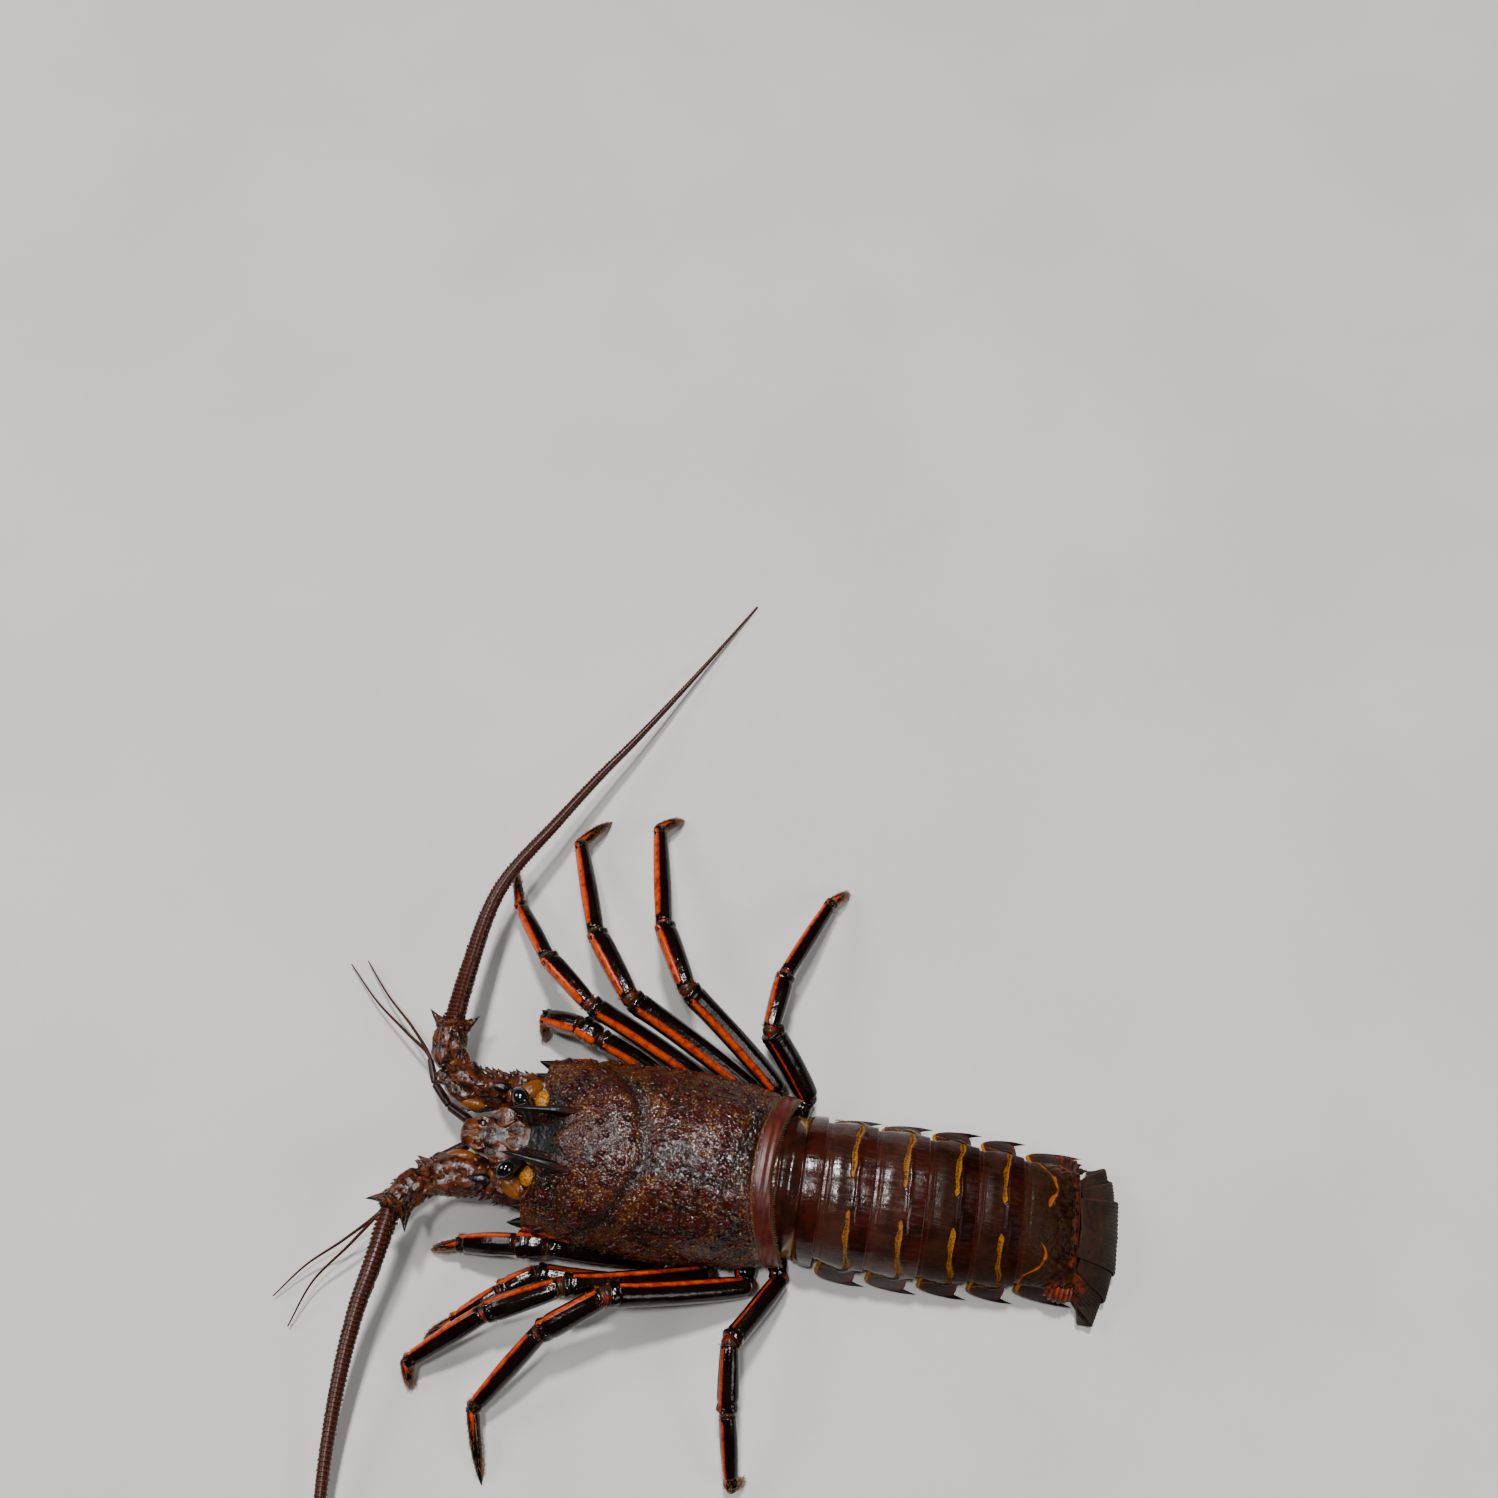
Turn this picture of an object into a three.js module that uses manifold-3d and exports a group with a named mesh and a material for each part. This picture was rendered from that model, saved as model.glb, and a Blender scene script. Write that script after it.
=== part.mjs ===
// California spiny lobster, life size: a still model lying on its belly.
// Units are millimetres. The head points to -Y, the animal's left side to +X, and up is +Z.
// The origin is on the floor, under the middle of the carapace.
import * as THREE from 'three';
import { mergeVertices } from 'three/addons/utils/BufferGeometryUtils.js';
import Module from 'manifold-3d';

const wasm = await Module();
wasm.setup();

// Clearance between neighbouring parts, and how much a part is grown to cut that clearance
const GAP = 0.3;
const CUT = 0.42;

// Thorax: 105 mm of carapace over a narrow breast plate
const SHELL = { front: -51.5, groove: -1, rear: 52.4, waist: 27, drop: 22, margin: 12 };
const SHELL_WIDTH = [[-52, 35], [-30, 38.5], [0, 40], [28, 39.3], [46, 37], [62, 34.5]];
const SHELL_TOP = [[-52, 43], [-38, 50], [-20, 55], [0, 56], [25, 58], [44, 55.5], [62, 52]];
const STERNUM = { front: -42, rear: 58, foot: 15 };

// Abdomen: boundaries of the six rings along Y, then height of the back and half width at each
const RINGS = [53, 74, 95.6, 118, 139.5, 159, 184];
const BACK = [[52, 47.5], [74, 46], [96, 44.5], [118, 42], [140, 39.5], [159, 36.5], [184, 28]];
const FLANK = [[52, 30], [74, 31.5], [96, 32], [118, 31.5], [140, 30], [159, 28.5], [184, 25]];
const TAIL_ROLL = 7;

// Colours of the shell, from the photograph
const INK = {
  shell: 0x3a1712, tail: 0x2a0f0e, fan: 0x2b221c, limb: 0x1a120d, feeler: 0x45201a, eye: 0x08080a,
};

const V = (x, y, z) => new THREE.Vector3(x, y, z);
const SIDES = { left: 1, right: -1 };

// A seeded random number from 0 to 1, so that every build gives the same animal
let seed = 20251;
function chance() {
  seed = (seed * 1664525 + 1013904223) % 4294967296;
  return seed / 4294967296;
}

// Value at t on a smooth curve through a few [position, value] stations
function along(stations, t) {
  const last = stations.length - 1;
  if (t <= stations[0][0]) return stations[0][1];
  if (t >= stations[last][0]) return stations[last][1];
  const i = stations.findIndex((station) => station[0] > t) - 1;
  const slope = (k) => {
    const a = stations[Math.max(k - 1, 0)];
    const b = stations[Math.min(k + 1, last)];
    return (b[1] - a[1]) / (b[0] - a[0]);
  };
  const [t0, v0] = stations[i];
  const [t1, v1] = stations[i + 1];
  const span = t1 - t0;
  const f = (t - t0) / span;
  const rise = f * f * (3 - 2 * f);
  const lean = f * (1 - f) * ((1 - f) * slope(i) - f * slope(i + 1)) * span;
  return v0 + (v1 - v0) * rise + lean;
}

const lerp = THREE.MathUtils.lerp;
const degrees = THREE.MathUtils.degToRad;

// A closed surface from points and triangles, turned so that its faces point outward
function surface(points, triangles) {
  let volume = 0;
  for (const [a, b, c] of triangles) {
    volume += points[a].dot(V(0, 0, 0).crossVectors(points[b], points[c]));
  }
  const faces = volume < 0 ? triangles.map(([a, b, c]) => [a, c, b]) : triangles;
  const places = points.flatMap((p) => [p.x, p.y, p.z]);
  const geometry = new THREE.BufferGeometry();
  geometry.setAttribute('position', new THREE.Float32BufferAttribute(places, 3));
  geometry.setIndex(faces.flat());
  return geometry;
}

// A closed skin over rings of points: a ring of one point closes that end in a tip, any other end is capped
function loft(rings) {
  const points = rings.flat();
  const triangles = [];
  let start = 0;
  for (let r = 0; r + 1 < rings.length; r += 1) {
    const here = rings[r].length;
    const next = rings[r + 1].length;
    const after = start + here;
    const count = Math.max(here, next);
    for (let k = 0; k < count; k += 1) {
      const m = (k + 1) % count;
      if (here > 1) triangles.push([start + k, start + m, after + (next > 1 ? m : 0)]);
      if (next > 1) triangles.push([start + (here > 1 ? k : 0), after + m, after + k]);
    }
    start = after;
  }
  const cap = (first, count, flip) => {
    if (count < 2) return;
    const middle = V(0, 0, 0);
    for (let k = 0; k < count; k += 1) middle.addScaledVector(points[first + k], 1 / count);
    points.push(middle);
    for (let k = 0; k < count; k += 1) {
      const m = (k + 1) % count;
      const pair = flip ? [first + m, first + k] : [first + k, first + m];
      triangles.push([points.length - 1, ...pair]);
    }
  };
  const lastCount = rings[rings.length - 1].length;
  const lastStart = points.length - lastCount;
  cap(0, rings[0].length, true);
  cap(lastStart, lastCount, false);
  return surface(points, triangles);
}

// A limb of oval sections along a path: each station is [point, half width, half height]
function limb(stations, sides = 8, turn = 0.5) {
  const rings = stations.map(([point, wide, high = wide], i) => {
    if (wide === 0) return [point];
    const back = stations[Math.max(i - 1, 0)][0];
    const ahead = stations[Math.min(i + 1, stations.length - 1)][0];
    const heading = ahead.clone().sub(back).normalize();
    const side = V(0, 0, 0).crossVectors(heading, V(0, 0, 1)).normalize();
    const rise = V(0, 0, 0).crossVectors(side, heading);
    return Array.from({ length: sides }, (_, k) => {
      const a = (2 * Math.PI * (k + turn)) / sides;
      const across = point.clone().addScaledVector(side, wide * Math.cos(a));
      return across.addScaledVector(rise, high * Math.sin(a));
    });
  });
  return loft(rings);
}

// Stations of one length of a limb: swell lists [fraction from joint to joint, factor of the two radii]
function stretch(from, to, [wide, high], swell) {
  return swell.map(([f, k]) => [from.clone().lerp(to, f), wide * k, high * k]);
}

// A copy of a geometry with its shared points merged, which leaves one closed surface
function merged(geometry) {
  const bare = geometry.clone();
  bare.deleteAttribute('normal');
  bare.deleteAttribute('uv');
  return mergeVertices(bare, 1e-4);
}

// A copy of a smooth closed surface, moved outward by the clearance that a neighbour keeps
function grown(geometry, amount = CUT) {
  const copy = merged(geometry);
  copy.computeVertexNormals();
  const place = copy.getAttribute('position');
  const normal = copy.getAttribute('normal');
  for (let i = 0; i < place.count; i += 1) {
    place.setXYZ(
      i,
      place.getX(i) + normal.getX(i) * amount,
      place.getY(i) + normal.getY(i) * amount,
      place.getZ(i) + normal.getZ(i) * amount,
    );
  }
  return copy;
}

// A closed surface as a solid that can be joined and cut
function solid(geometry) {
  const whole = merged(geometry);
  return new wasm.Manifold(new wasm.Mesh({
    numProp: 3,
    vertProperties: new Float32Array(whole.getAttribute('position').array),
    triVerts: new Uint32Array(whole.index.array),
  }));
}

const joined = (geometries) => geometries.map(solid).reduce((whole, piece) => whole.add(piece));
const cut = (body, tools) => tools.reduce((rest, tool) => rest.subtract(tool), body);

// A box between two corners
function block(low, high) {
  const geometry = new THREE.BoxGeometry(high.x - low.x, high.y - low.y, high.z - low.z);
  geometry.translate((low.x + high.x) / 2, (low.y + high.y) / 2, (low.z + high.z) / 2);
  return solid(geometry);
}

// A tapered spine: its root is sunk below the point and it leans along the given direction
function spine(point, direction, tall, radius, sink = 1.4, sides = 5) {
  const cone = new THREE.ConeGeometry(radius, tall + sink, sides);
  cone.translate(0, (tall + sink) / 2 - sink, 0);
  cone.applyQuaternion(new THREE.Quaternion().setFromUnitVectors(V(0, 1, 0), direction.clone().normalize()));
  cone.translate(point.x, point.y, point.z);
  return cone;
}

// A spine on the side of a limb, at a fraction from one joint to the next and an angle about its axis
function limbSpine(from, to, f, angle, radius, tall, thick = 1.5) {
  const heading = to.clone().sub(from).normalize();
  const side = V(0, 0, 0).crossVectors(heading, V(0, 0, 1)).normalize();
  const rise = V(0, 0, 0).crossVectors(side, heading);
  const outward = side.multiplyScalar(Math.cos(degrees(angle)));
  outward.addScaledVector(rise, Math.sin(degrees(angle)));
  const point = from.clone().lerp(to, f).addScaledVector(outward, radius);
  return spine(point, outward.clone().addScaledVector(heading, 0.75), tall, thick, 1.8);
}

const belowFloor = block(V(-400, -400, -60), V(400, 400, 0));

// The group that holds every named part
const lobster = new THREE.Group();

// Adds a named part to the group, keeping only the largest closed body of its solid
function part(name, body, colour, roughness = 0.35) {
  const bodies = body.decompose();
  bodies.sort((a, b) => b.volume() - a.volume());
  const { vertProperties, triVerts } = bodies[0].getMesh();
  const geometry = new THREE.BufferGeometry();
  geometry.setAttribute('position', new THREE.BufferAttribute(Float32Array.from(vertProperties), 3));
  geometry.setIndex(new THREE.BufferAttribute(Uint32Array.from(triVerts), 1));
  const finish = new THREE.MeshStandardMaterial({ color: colour, roughness, metalness: 0 });
  const mesh = new THREE.Mesh(geometry, finish);
  mesh.name = name;
  lobster.add(mesh);
}

// Point on the carapace: run is 0 at the front edge, 1 at the neck groove and 2 at the rear edge,
// and angle is 0 on the back, plus or minus 90 degrees at the widest line
const MARGIN_ANGLE = Math.PI - Math.acos((SHELL.waist - SHELL.margin) / SHELL.drop);

function shellPoint(run, angle, raise = 0) {
  const bend = Math.abs(angle) / (Math.PI / 2);
  const front = SHELL.front + 3.5 * bend ** 1.5;
  const groove = SHELL.groove - 21 * bend ** 1.2;
  const rear = SHELL.rear + 8 * Math.sin(angle) ** 2;
  const y = run < 1 ? lerp(front, groove, run) : lerp(groove, rear, run - 1);
  const neck = -1.8 * Math.exp(-(((y - groove) / 3) ** 2));
  const rim = -1.2 * Math.exp(-(((y - rear + 8) / 1.6) ** 2));
  const lift = raise + neck + rim;
  const wide = along(SHELL_WIDTH, y) + lift;
  const high = Math.abs(angle) < Math.PI / 2 ? along(SHELL_TOP, y) - SHELL.waist : SHELL.drop;
  return V(wide * Math.sin(angle), y, SHELL.waist + (high + lift) * Math.cos(angle));
}

// The smooth form of the carapace, closed flat underneath
const SHELL_RUNS = [
  0, 0.07, 0.2, 0.36, 0.52, 0.68, 0.82, 0.92, 1, 1.08, 1.2, 1.36, 1.52, 1.68, 1.8, 1.855, 1.89, 1.95, 2,
];

function shellForm() {
  const steps = 22;
  return loft(SHELL_RUNS.map((run) => Array.from({ length: steps + 1 }, (_, k) => {
    const p = shellPoint(run, lerp(-MARGIN_ANGLE, MARGIN_ANGLE, k / steps));
    p.z = Math.max(p.z, SHELL.margin + GAP / 2);
    if (k === 0 || k === steps) p.z = SHELL.margin + GAP / 2;
    return p;
  })));
}

// The breast plate under the carapace: a flat sole with the legs' sockets beside it.
// The room is added all round, for a copy that cuts clearance.
function sternumForm(room = 0) {
  const stations = [
    [STERNUM.front, 13, 4, 6],
    [-36, 17, 6, 3],
    [-22, 23, 8, 0],
    [-6, 26.5, 11, 0],
    [20, 27.5, STERNUM.foot, 0],
    [44, 26, STERNUM.foot + 1, 0],
    [54, 23, STERNUM.foot, 0],
    [STERNUM.rear, 19, 11, 3],
  ];
  const top = SHELL.margin - GAP / 2;
  const middle = (STERNUM.front + STERNUM.rear) / 2;
  return loft(stations.map(([y, brim, foot, low]) => {
    const place = (x, z) => V(Math.sign(x) * (Math.abs(x) + 2.4 * room), y + Math.sign(y - middle) * room, z);
    return [
      place(-brim, top + room),
      place(-foot - 4, lerp(low, top, 0.55)),
      place(-foot, low - room),
      place(foot, low - room),
      place(foot + 4, lerp(low, top, 0.55)),
      place(brim, top + room),
    ];
  }));
}

// A horn over each eye, flat from side to side and curving forward from the carapace
function hornForm(side) {
  return limb([
    [V(side * 11.8, -29, 49), 3.4, 3.6],
    [V(side * 11, -38, 53.6), 3, 3.6],
    [V(side * 10.2, -47, 55.8), 2.2, 2.9],
    [V(side * 9.5, -54.5, 55.6), 1.4, 1.9],
    [V(side * 9, -60, 54), 0],
  ]);
}

// Outward direction of the carapace at a point
function shellNormal(run, angle) {
  const step = 0.02;
  const forward = shellPoint(run + step, angle).sub(shellPoint(run - step, angle));
  const around = shellPoint(run, angle + step).sub(shellPoint(run, angle - step));
  return V(0, 0, 0).crossVectors(around, forward).normalize();
}

// Rows of low spines over the carapace, leaning forward, tallest in front
const SPINE_ROWS = [7, 23, 39, 55, 72, 90];
const SPINE_STEP = 10.5;
const FRONT_SPINE = { tall: 4.4, radius: 2.3 };
const REAR_SPINE = { tall: 2.5, radius: 2.3 };

// Spines at each front corner as [x, y, z, height, radius], and behind each horn as [angle, run, height]
const CORNER_SPINES = [[32, -43, 29, 11.5, 3.2], [33.5, -39, 20.5, 8, 2.6], [29.5, -44, 36, 7, 2.3]];
const CREST_SPINES = [[13, 0.62, 5], [17, 0.86, 4.4], [27, 0.32, 5.4]];

function shellSpines() {
  const spines = [];
  for (const side of [1, -1]) {
    SPINE_ROWS.forEach((row, index) => {
      for (let y = -40 + (index % 2) * SPINE_STEP * 0.5; y < 45; y += SPINE_STEP) {
        const angle = side * degrees(row + (chance() - 0.5) * 5);
        const groove = shellPoint(1, angle).y;
        const place = y + (chance() - 0.5) * 3.5;
        const run = place < groove
          ? 1 - (groove - place) / (groove - shellPoint(0, angle).y)
          : 1 + (place - groove) / (shellPoint(2, angle).y - groove);
        const size = lerp(0.82, 1.12, chance());
        const nearHorn = row < 30 && place < -26;
        if (nearHorn || run < 0.1 || Math.abs(run - 1) < 0.07 || run > 1.76) continue;
        const f = THREE.MathUtils.clamp((place + 40) / 70, 0, 1);
        const normal = shellNormal(run, angle);
        const lean = normal.clone().add(V(0, lerp(-1.1, -0.8, f), 0));
        const tall = lerp(FRONT_SPINE.tall, REAR_SPINE.tall, f) * size;
        const radius = lerp(FRONT_SPINE.radius, REAR_SPINE.radius, f) * size;
        spines.push(spine(shellPoint(run, angle), lean, tall, radius));
      }
    });
    for (const [x, y, z, tall, radius] of CORNER_SPINES) {
      spines.push(spine(V(side * x, y, z), V(side * 0.16, -1, 0.12), tall, radius, 3));
    }
    for (const [angle, run, tall] of CREST_SPINES) {
      const at = side * degrees(angle);
      spines.push(spine(shellPoint(run, at), shellNormal(run, at).add(V(0, -1.1, 0)), tall, 2.5));
    }
  }
  return spines;
}

// Eyes stand on short stalks in a notch of the carapace's front edge
const EYE = { x: 15.5, y: -56.5, z: 46.5, radius: 4.2 };

function eyeForm(side) {
  const ball = new THREE.SphereGeometry(EYE.radius, 10, 7);
  ball.scale(0.92, 1.08, 1);
  ball.translate(side * EYE.x, EYE.y, EYE.z);
  const stalk = limb([
    [V(side * 7, -54.5, 41.5), 2.4],
    [V(side * 12, -55.4, 44.2), 2.9],
    [V(side * EYE.x, EYE.y, EYE.z), 3.2],
  ]);
  return [ball, stalk];
}

// The notch that the carapace leaves round an eye
const ORBIT = { x: 18.8, y: -54.5, z: 45, wide: 9.5, long: 8.2, high: 8.5 };

function orbitForm(side) {
  const hollow = new THREE.SphereGeometry(1, 14, 9);
  hollow.scale(ORBIT.wide, ORBIT.long, ORBIT.high);
  hollow.translate(side * ORBIT.x, ORBIT.y, ORBIT.z);
  return hollow;
}

// The face between the feelers: mouth frame below, small plate of the inner feelers above
function headForm() {
  const stations = [
    [-44, 12, 10, 40],
    [-54, 10.5, 10, 40],
    [-60, 8.5, 11.5, 38],
    [-68, 7, 20, 36.5],
    [-76, 6.2, 25, 35.5],
    [-83, 4.6, 27, 33.5],
  ];
  return loft(stations.map(([y, wide, low, high]) => {
    const middle = (low + high) / 2;
    return Array.from({ length: 10 }, (_, k) => {
      const a = (2 * Math.PI * (k + 0.5)) / 10;
      return V(wide * Math.cos(a), y, middle + ((high - low) / 2) * Math.sin(a));
    });
  }));
}

// Feelers: joints of the three thick lengths, then the points that the whip runs through
const FEELER = {
  left: {
    joints: [V(18.5, -48, 28), V(18, -66, 31.5), V(18.5, -82, 33.5), V(23.5, -95, 35), V(37.5, -103.5, 37.5)],
    whip: [V(37.5, -103.5, 37.5), V(56, -106, 34), V(77, -110, 28), V(104, -112, 21), V(141, -111, 13),
      V(190, -104, 6), V(240, -92, 2.2), V(300, -76, 0.5)],
  },
  right: {
    joints: [V(-20, -48, 28), V(-19, -66, 31.5), V(-18.5, -81, 33.5), V(-27.5, -94, 35), V(-46.5, -95, 37.5)],
    whip: [V(-46.5, -95, 37.5), V(-68, -94.5, 35), V(-110, -90, 29.5), V(-150, -71, 23), V(-177, -57, 18.5),
      V(-202, -43, 13.5), V(-246, -20, 5.5), V(-292, 4, 0.5)],
  },
};
const FEELER_WHIP = { root: 4.5, tip: 0.5, split: 0.47, steps: 24 };

// Smooth whip of a feeler between two fractions of its length
function whipForm(points, from, to) {
  const curve = new THREE.CatmullRomCurve3(points, false, 'centripetal');
  const steps = Math.round(FEELER_WHIP.steps * (to - from));
  return limb(Array.from({ length: steps + 1 }, (_, i) => {
    const f = lerp(from, to, i / steps);
    const radius = lerp(FEELER_WHIP.root, FEELER_WHIP.tip, f ** 0.85);
    return [curve.getPointAt(f), radius];
  }));
}

// Spines of the feelers' thick lengths: [fraction, angle about the length, height], angle 90 on top
const FEELER_SPINES = {
  base: [[0.62, 165, 3.6], [0.8, 120, 3.2], [0.9, 195, 3.4]],
  middle: [[0.45, 150, 4], [0.7, 95, 3.6], [0.85, 175, 4.4], [0.6, 20, 3]],
  bend: [[0.35, 140, 4], [0.75, 100, 4.6], [0.7, 175, 4.4], [0.78, 40, 3.4]],
  end: [[0.3, 150, 3.4], [0.5, 80, 3.2], [0.9, 175, 5.6], [0.88, 60, 4.6], [0.86, 0, 5.6]],
};

// Swelling of the feelers' thick lengths: [fraction from joint to joint, half width, half height]
const FEELER_SWELL = {
  base: [[0, 9.6, 9.6], [0.5, 9, 9], [1, 7.8, 8]],
  baseLip: [[0.12, 6.8, 7]],
  middle: [[0, 6, 6], [0.3, 8.2, 7.6], [1, 8.8, 7.8]],
  bend: [[0.6, 7.6, 7], [1, 6, 6]],
  endLip: [[0.8, 5, 5]],
  end: [[0.15, 6.8, 6.6], [0.7, 6.4, 6.4], [1, 5.2, 5.2]],
};

function feelerForms(joints) {
  const swollen = (index, swell) => (
    swell.map(([f, wide, high]) => [joints[index].clone().lerp(joints[index + 1], f), wide, high]));
  const sides = 10;
  return {
    base: limb([...swollen(0, FEELER_SWELL.base), ...swollen(1, FEELER_SWELL.baseLip)], sides),
    middle: limb([...swollen(1, FEELER_SWELL.middle), ...swollen(2, FEELER_SWELL.bend)], sides),
    end: limb([...swollen(2, FEELER_SWELL.endLip), ...swollen(3, FEELER_SWELL.end)], sides),
  };
}

function feelerSpines(from, to, radius, places, side) {
  return places.map(([f, angle, tall]) => {
    const turned = side > 0 ? 180 - angle : angle;
    return limbSpine(from, to, f, turned, radius, tall, 1.6);
  });
}

// Inner feelers: a thin jointed stem and two fine threads each
const INNER = {
  left: {
    stem: [V(4.5, -79, 27), V(12, -92, 23), V(24, -103, 21), V(36, -111, 20)],
    threads: [
      [V(52, -123, 15), V(68, -136, 9), V(87, -143.5, 3)],
      [V(50, -126, 14), V(62, -141, 8), V(76, -153, 3)],
    ],
  },
  right: {
    stem: [V(-4.5, -79, 27), V(-11, -92, 23), V(-20, -101, 21), V(-31, -106, 20)],
    threads: [
      [V(-44, -118, 15), V(-58, -134, 9), V(-74.5, -149.5, 3)],
      [V(-42, -121, 14), V(-55, -139, 8), V(-72, -157, 3)],
    ],
  },
};

function innerFeelerForms({ stem, threads }) {
  const beforeBend = stem[0].clone().lerp(stem[1], 0.9);
  const stemStations = [[stem[0], 2.4], [beforeBend, 2], [stem[1], 1.6], [stem[2], 1.8], [stem[3], 1.3]];
  const forms = [limb(stemStations, 6)];
  for (const thread of threads) {
    const curve = new THREE.CatmullRomCurve3([stem[2], stem[3], ...thread]);
    const steps = 9;
    const stations = Array.from({ length: steps + 1 }, (_, i) => (
      [curve.getPointAt(i / steps), lerp(0.95, 0.3, i / steps)]));
    forms.push(limb(stations, 5));
  }
  return forms;
}

// Jaw legs folded forward under the mouth
function jawLegForm(side) {
  const elbow = V(side * 13, -55, 8.5);
  return [
    limb(stretch(V(side * 9, -34, 8), elbow, [3.6, 3.2], [[0, 0.8], [0.3, 1], [0.9, 1], [1.05, 0.8]])),
    limb(stretch(elbow, V(side * 7, -66, 9), [2.8, 2.6], [[0, 0.9], [0.5, 1], [1, 0.4]])),
  ];
}

// Rolls a point of the abdomen about its own axis: none at the carapace, most along the middle rings
const ROLL = [[50, 0], [96, TAIL_ROLL], [150, TAIL_ROLL], [186, 3], [200, 0]];

function rolled(p) {
  const axis = V(0, p.y, 12);
  return p.clone().sub(axis).applyAxisAngle(V(0, 1, 0), degrees(along(ROLL, p.y))).add(axis);
}

// One cross-section of an abdomen ring: a high arch over a nearly flat belly
function ringSection(y, scale, sink, belly = 9) {
  const wide = along(FLANK, y) * scale;
  const high = (along(BACK, y) - 14) * scale;
  const steps = 16;
  const arch = Array.from({ length: steps + 1 }, (_, k) => {
    const a = lerp(-Math.PI / 2, Math.PI / 2, k / steps);
    const x = Math.sign(a) * wide * Math.abs(Math.sin(a)) ** 0.9;
    const dip = Math.abs(a) > 0.2 ? sink : 0;
    return V(x - Math.sign(a) * dip, y, 14 + high * Math.cos(a) ** 0.86 - dip * Math.cos(a));
  });
  const under = [V(wide * 0.86, y, belly), V(0, y, belly - 0.8), V(-wide * 0.86, y, belly)];
  return [...arch, ...under].map(rolled);
}

// One abdomen ring, narrow where it slides under the ring before it and with a groove across its middle
function ringForm(index) {
  const front = RINGS[index] + (index === 0 ? -4 : GAP / 2);
  const rear = RINGS[index + 1] - GAP / 2;
  const groove = index === 0 ? 0 : 0.7;
  const stations = [[0, 0.955, 0], [0.1, 0.975, 0], [0.42, 0.99, 0], [0.48, 0.985, groove], [0.54, 0.99, 0],
    [0.9, 1.01, 0], [1, 1, 0]];
  return loft(stations.map(([f, scale, sink]) => ringSection(lerp(front, rear, f), scale, sink)));
}

// The side flap of a ring: a curved blade that ends in a spine pointing back
function flapForm(index, side) {
  const front = RINGS[index];
  const rear = RINGS[index + 1];
  const wide = along(FLANK, (front + rear) / 2);
  const run = rear - front;
  const blade = (x, y, z, long, thick, lean) => Array.from({ length: 6 }, (_, k) => {
    const a = (2 * Math.PI * k) / 6;
    const reach = long * Math.cos(a);
    return rolled(V(side * (x + thick * Math.sin(a)), y + reach, z - lean * reach));
  });
  return loft([
    blade(wide - 3.6, front + run * 0.48, 18, run * 0.36, 2.2, 0),
    blade(wide + 0.2, front + run * 0.46, 12, run * 0.38, 1.8, 0.05),
    blade(wide + 1.7, front + run * 0.56, 8.2, run * 0.28, 1.5, 0.15),
    blade(wide + 2.6, front + run * 0.84, 7, run * 0.12, 1, 0.25),
    [rolled(V(side * (wide + 3.4), rear + 2.5, 6.6))],
  ]);
}

// A swimmeret: a soft leaf hanging under a ring, lying back
function swimmeretForm(index, side) {
  const y = lerp(RINGS[index], RINGS[index + 1], 0.35);
  const leaf = (x, back, z, wide, thick) => [V(1, 0, 0), V(0, 0.5, 1), V(-1, 0, 0), V(0, -0.5, -1)]
    .map((d) => rolled(V(side * x + d.x * wide, y + back + d.y * thick, z + d.z * thick)));
  return loft([
    leaf(14, 0, 11, 3.5, 1.2),
    leaf(15, 4, 7, 5.5, 0.9),
    leaf(15.5, 9, 5, 4.5, 0.6),
    [rolled(V(side * 15.5, y + 13, 4.2))],
  ]);
}

// Tail fan: the curved surface that the blades follow, as [run, y, z] of the middle line
const FAN_PATH = new THREE.CatmullRomCurve3([
  V(0, 184.4, 26.5), V(0, 191, 23.2), V(0, 198, 18), V(0, 202.6, 11), V(0, 202.8, 5),
  V(0, 198.5, 1.3), V(0, 192, 0.7), V(0, 182, 0.7), V(0, 172, 0.7),
]);
const FAN_LENGTH = FAN_PATH.getLength();

// Point on the fan surface: run along it, x across it, depth inward from the outer layer
function fanPoint(run, x, depth) {
  const f = THREE.MathUtils.clamp(run / FAN_LENGTH, 0, 1);
  const point = FAN_PATH.getPointAt(f);
  const heading = FAN_PATH.getTangentAt(f);
  const inward = V(0, heading.z, -heading.y);
  const fade = THREE.MathUtils.clamp(1 - run / 30, 0, 1) ** 1.2;
  const drop = 13 * (Math.min(Math.abs(x), 30) / 26) ** 2 * fade;
  const before = Math.min(run, 0);
  point.addScaledVector(inward, depth).addScaledVector(heading, before);
  return V(x, point.y - drop * 0.25, point.z - drop);
}

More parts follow.
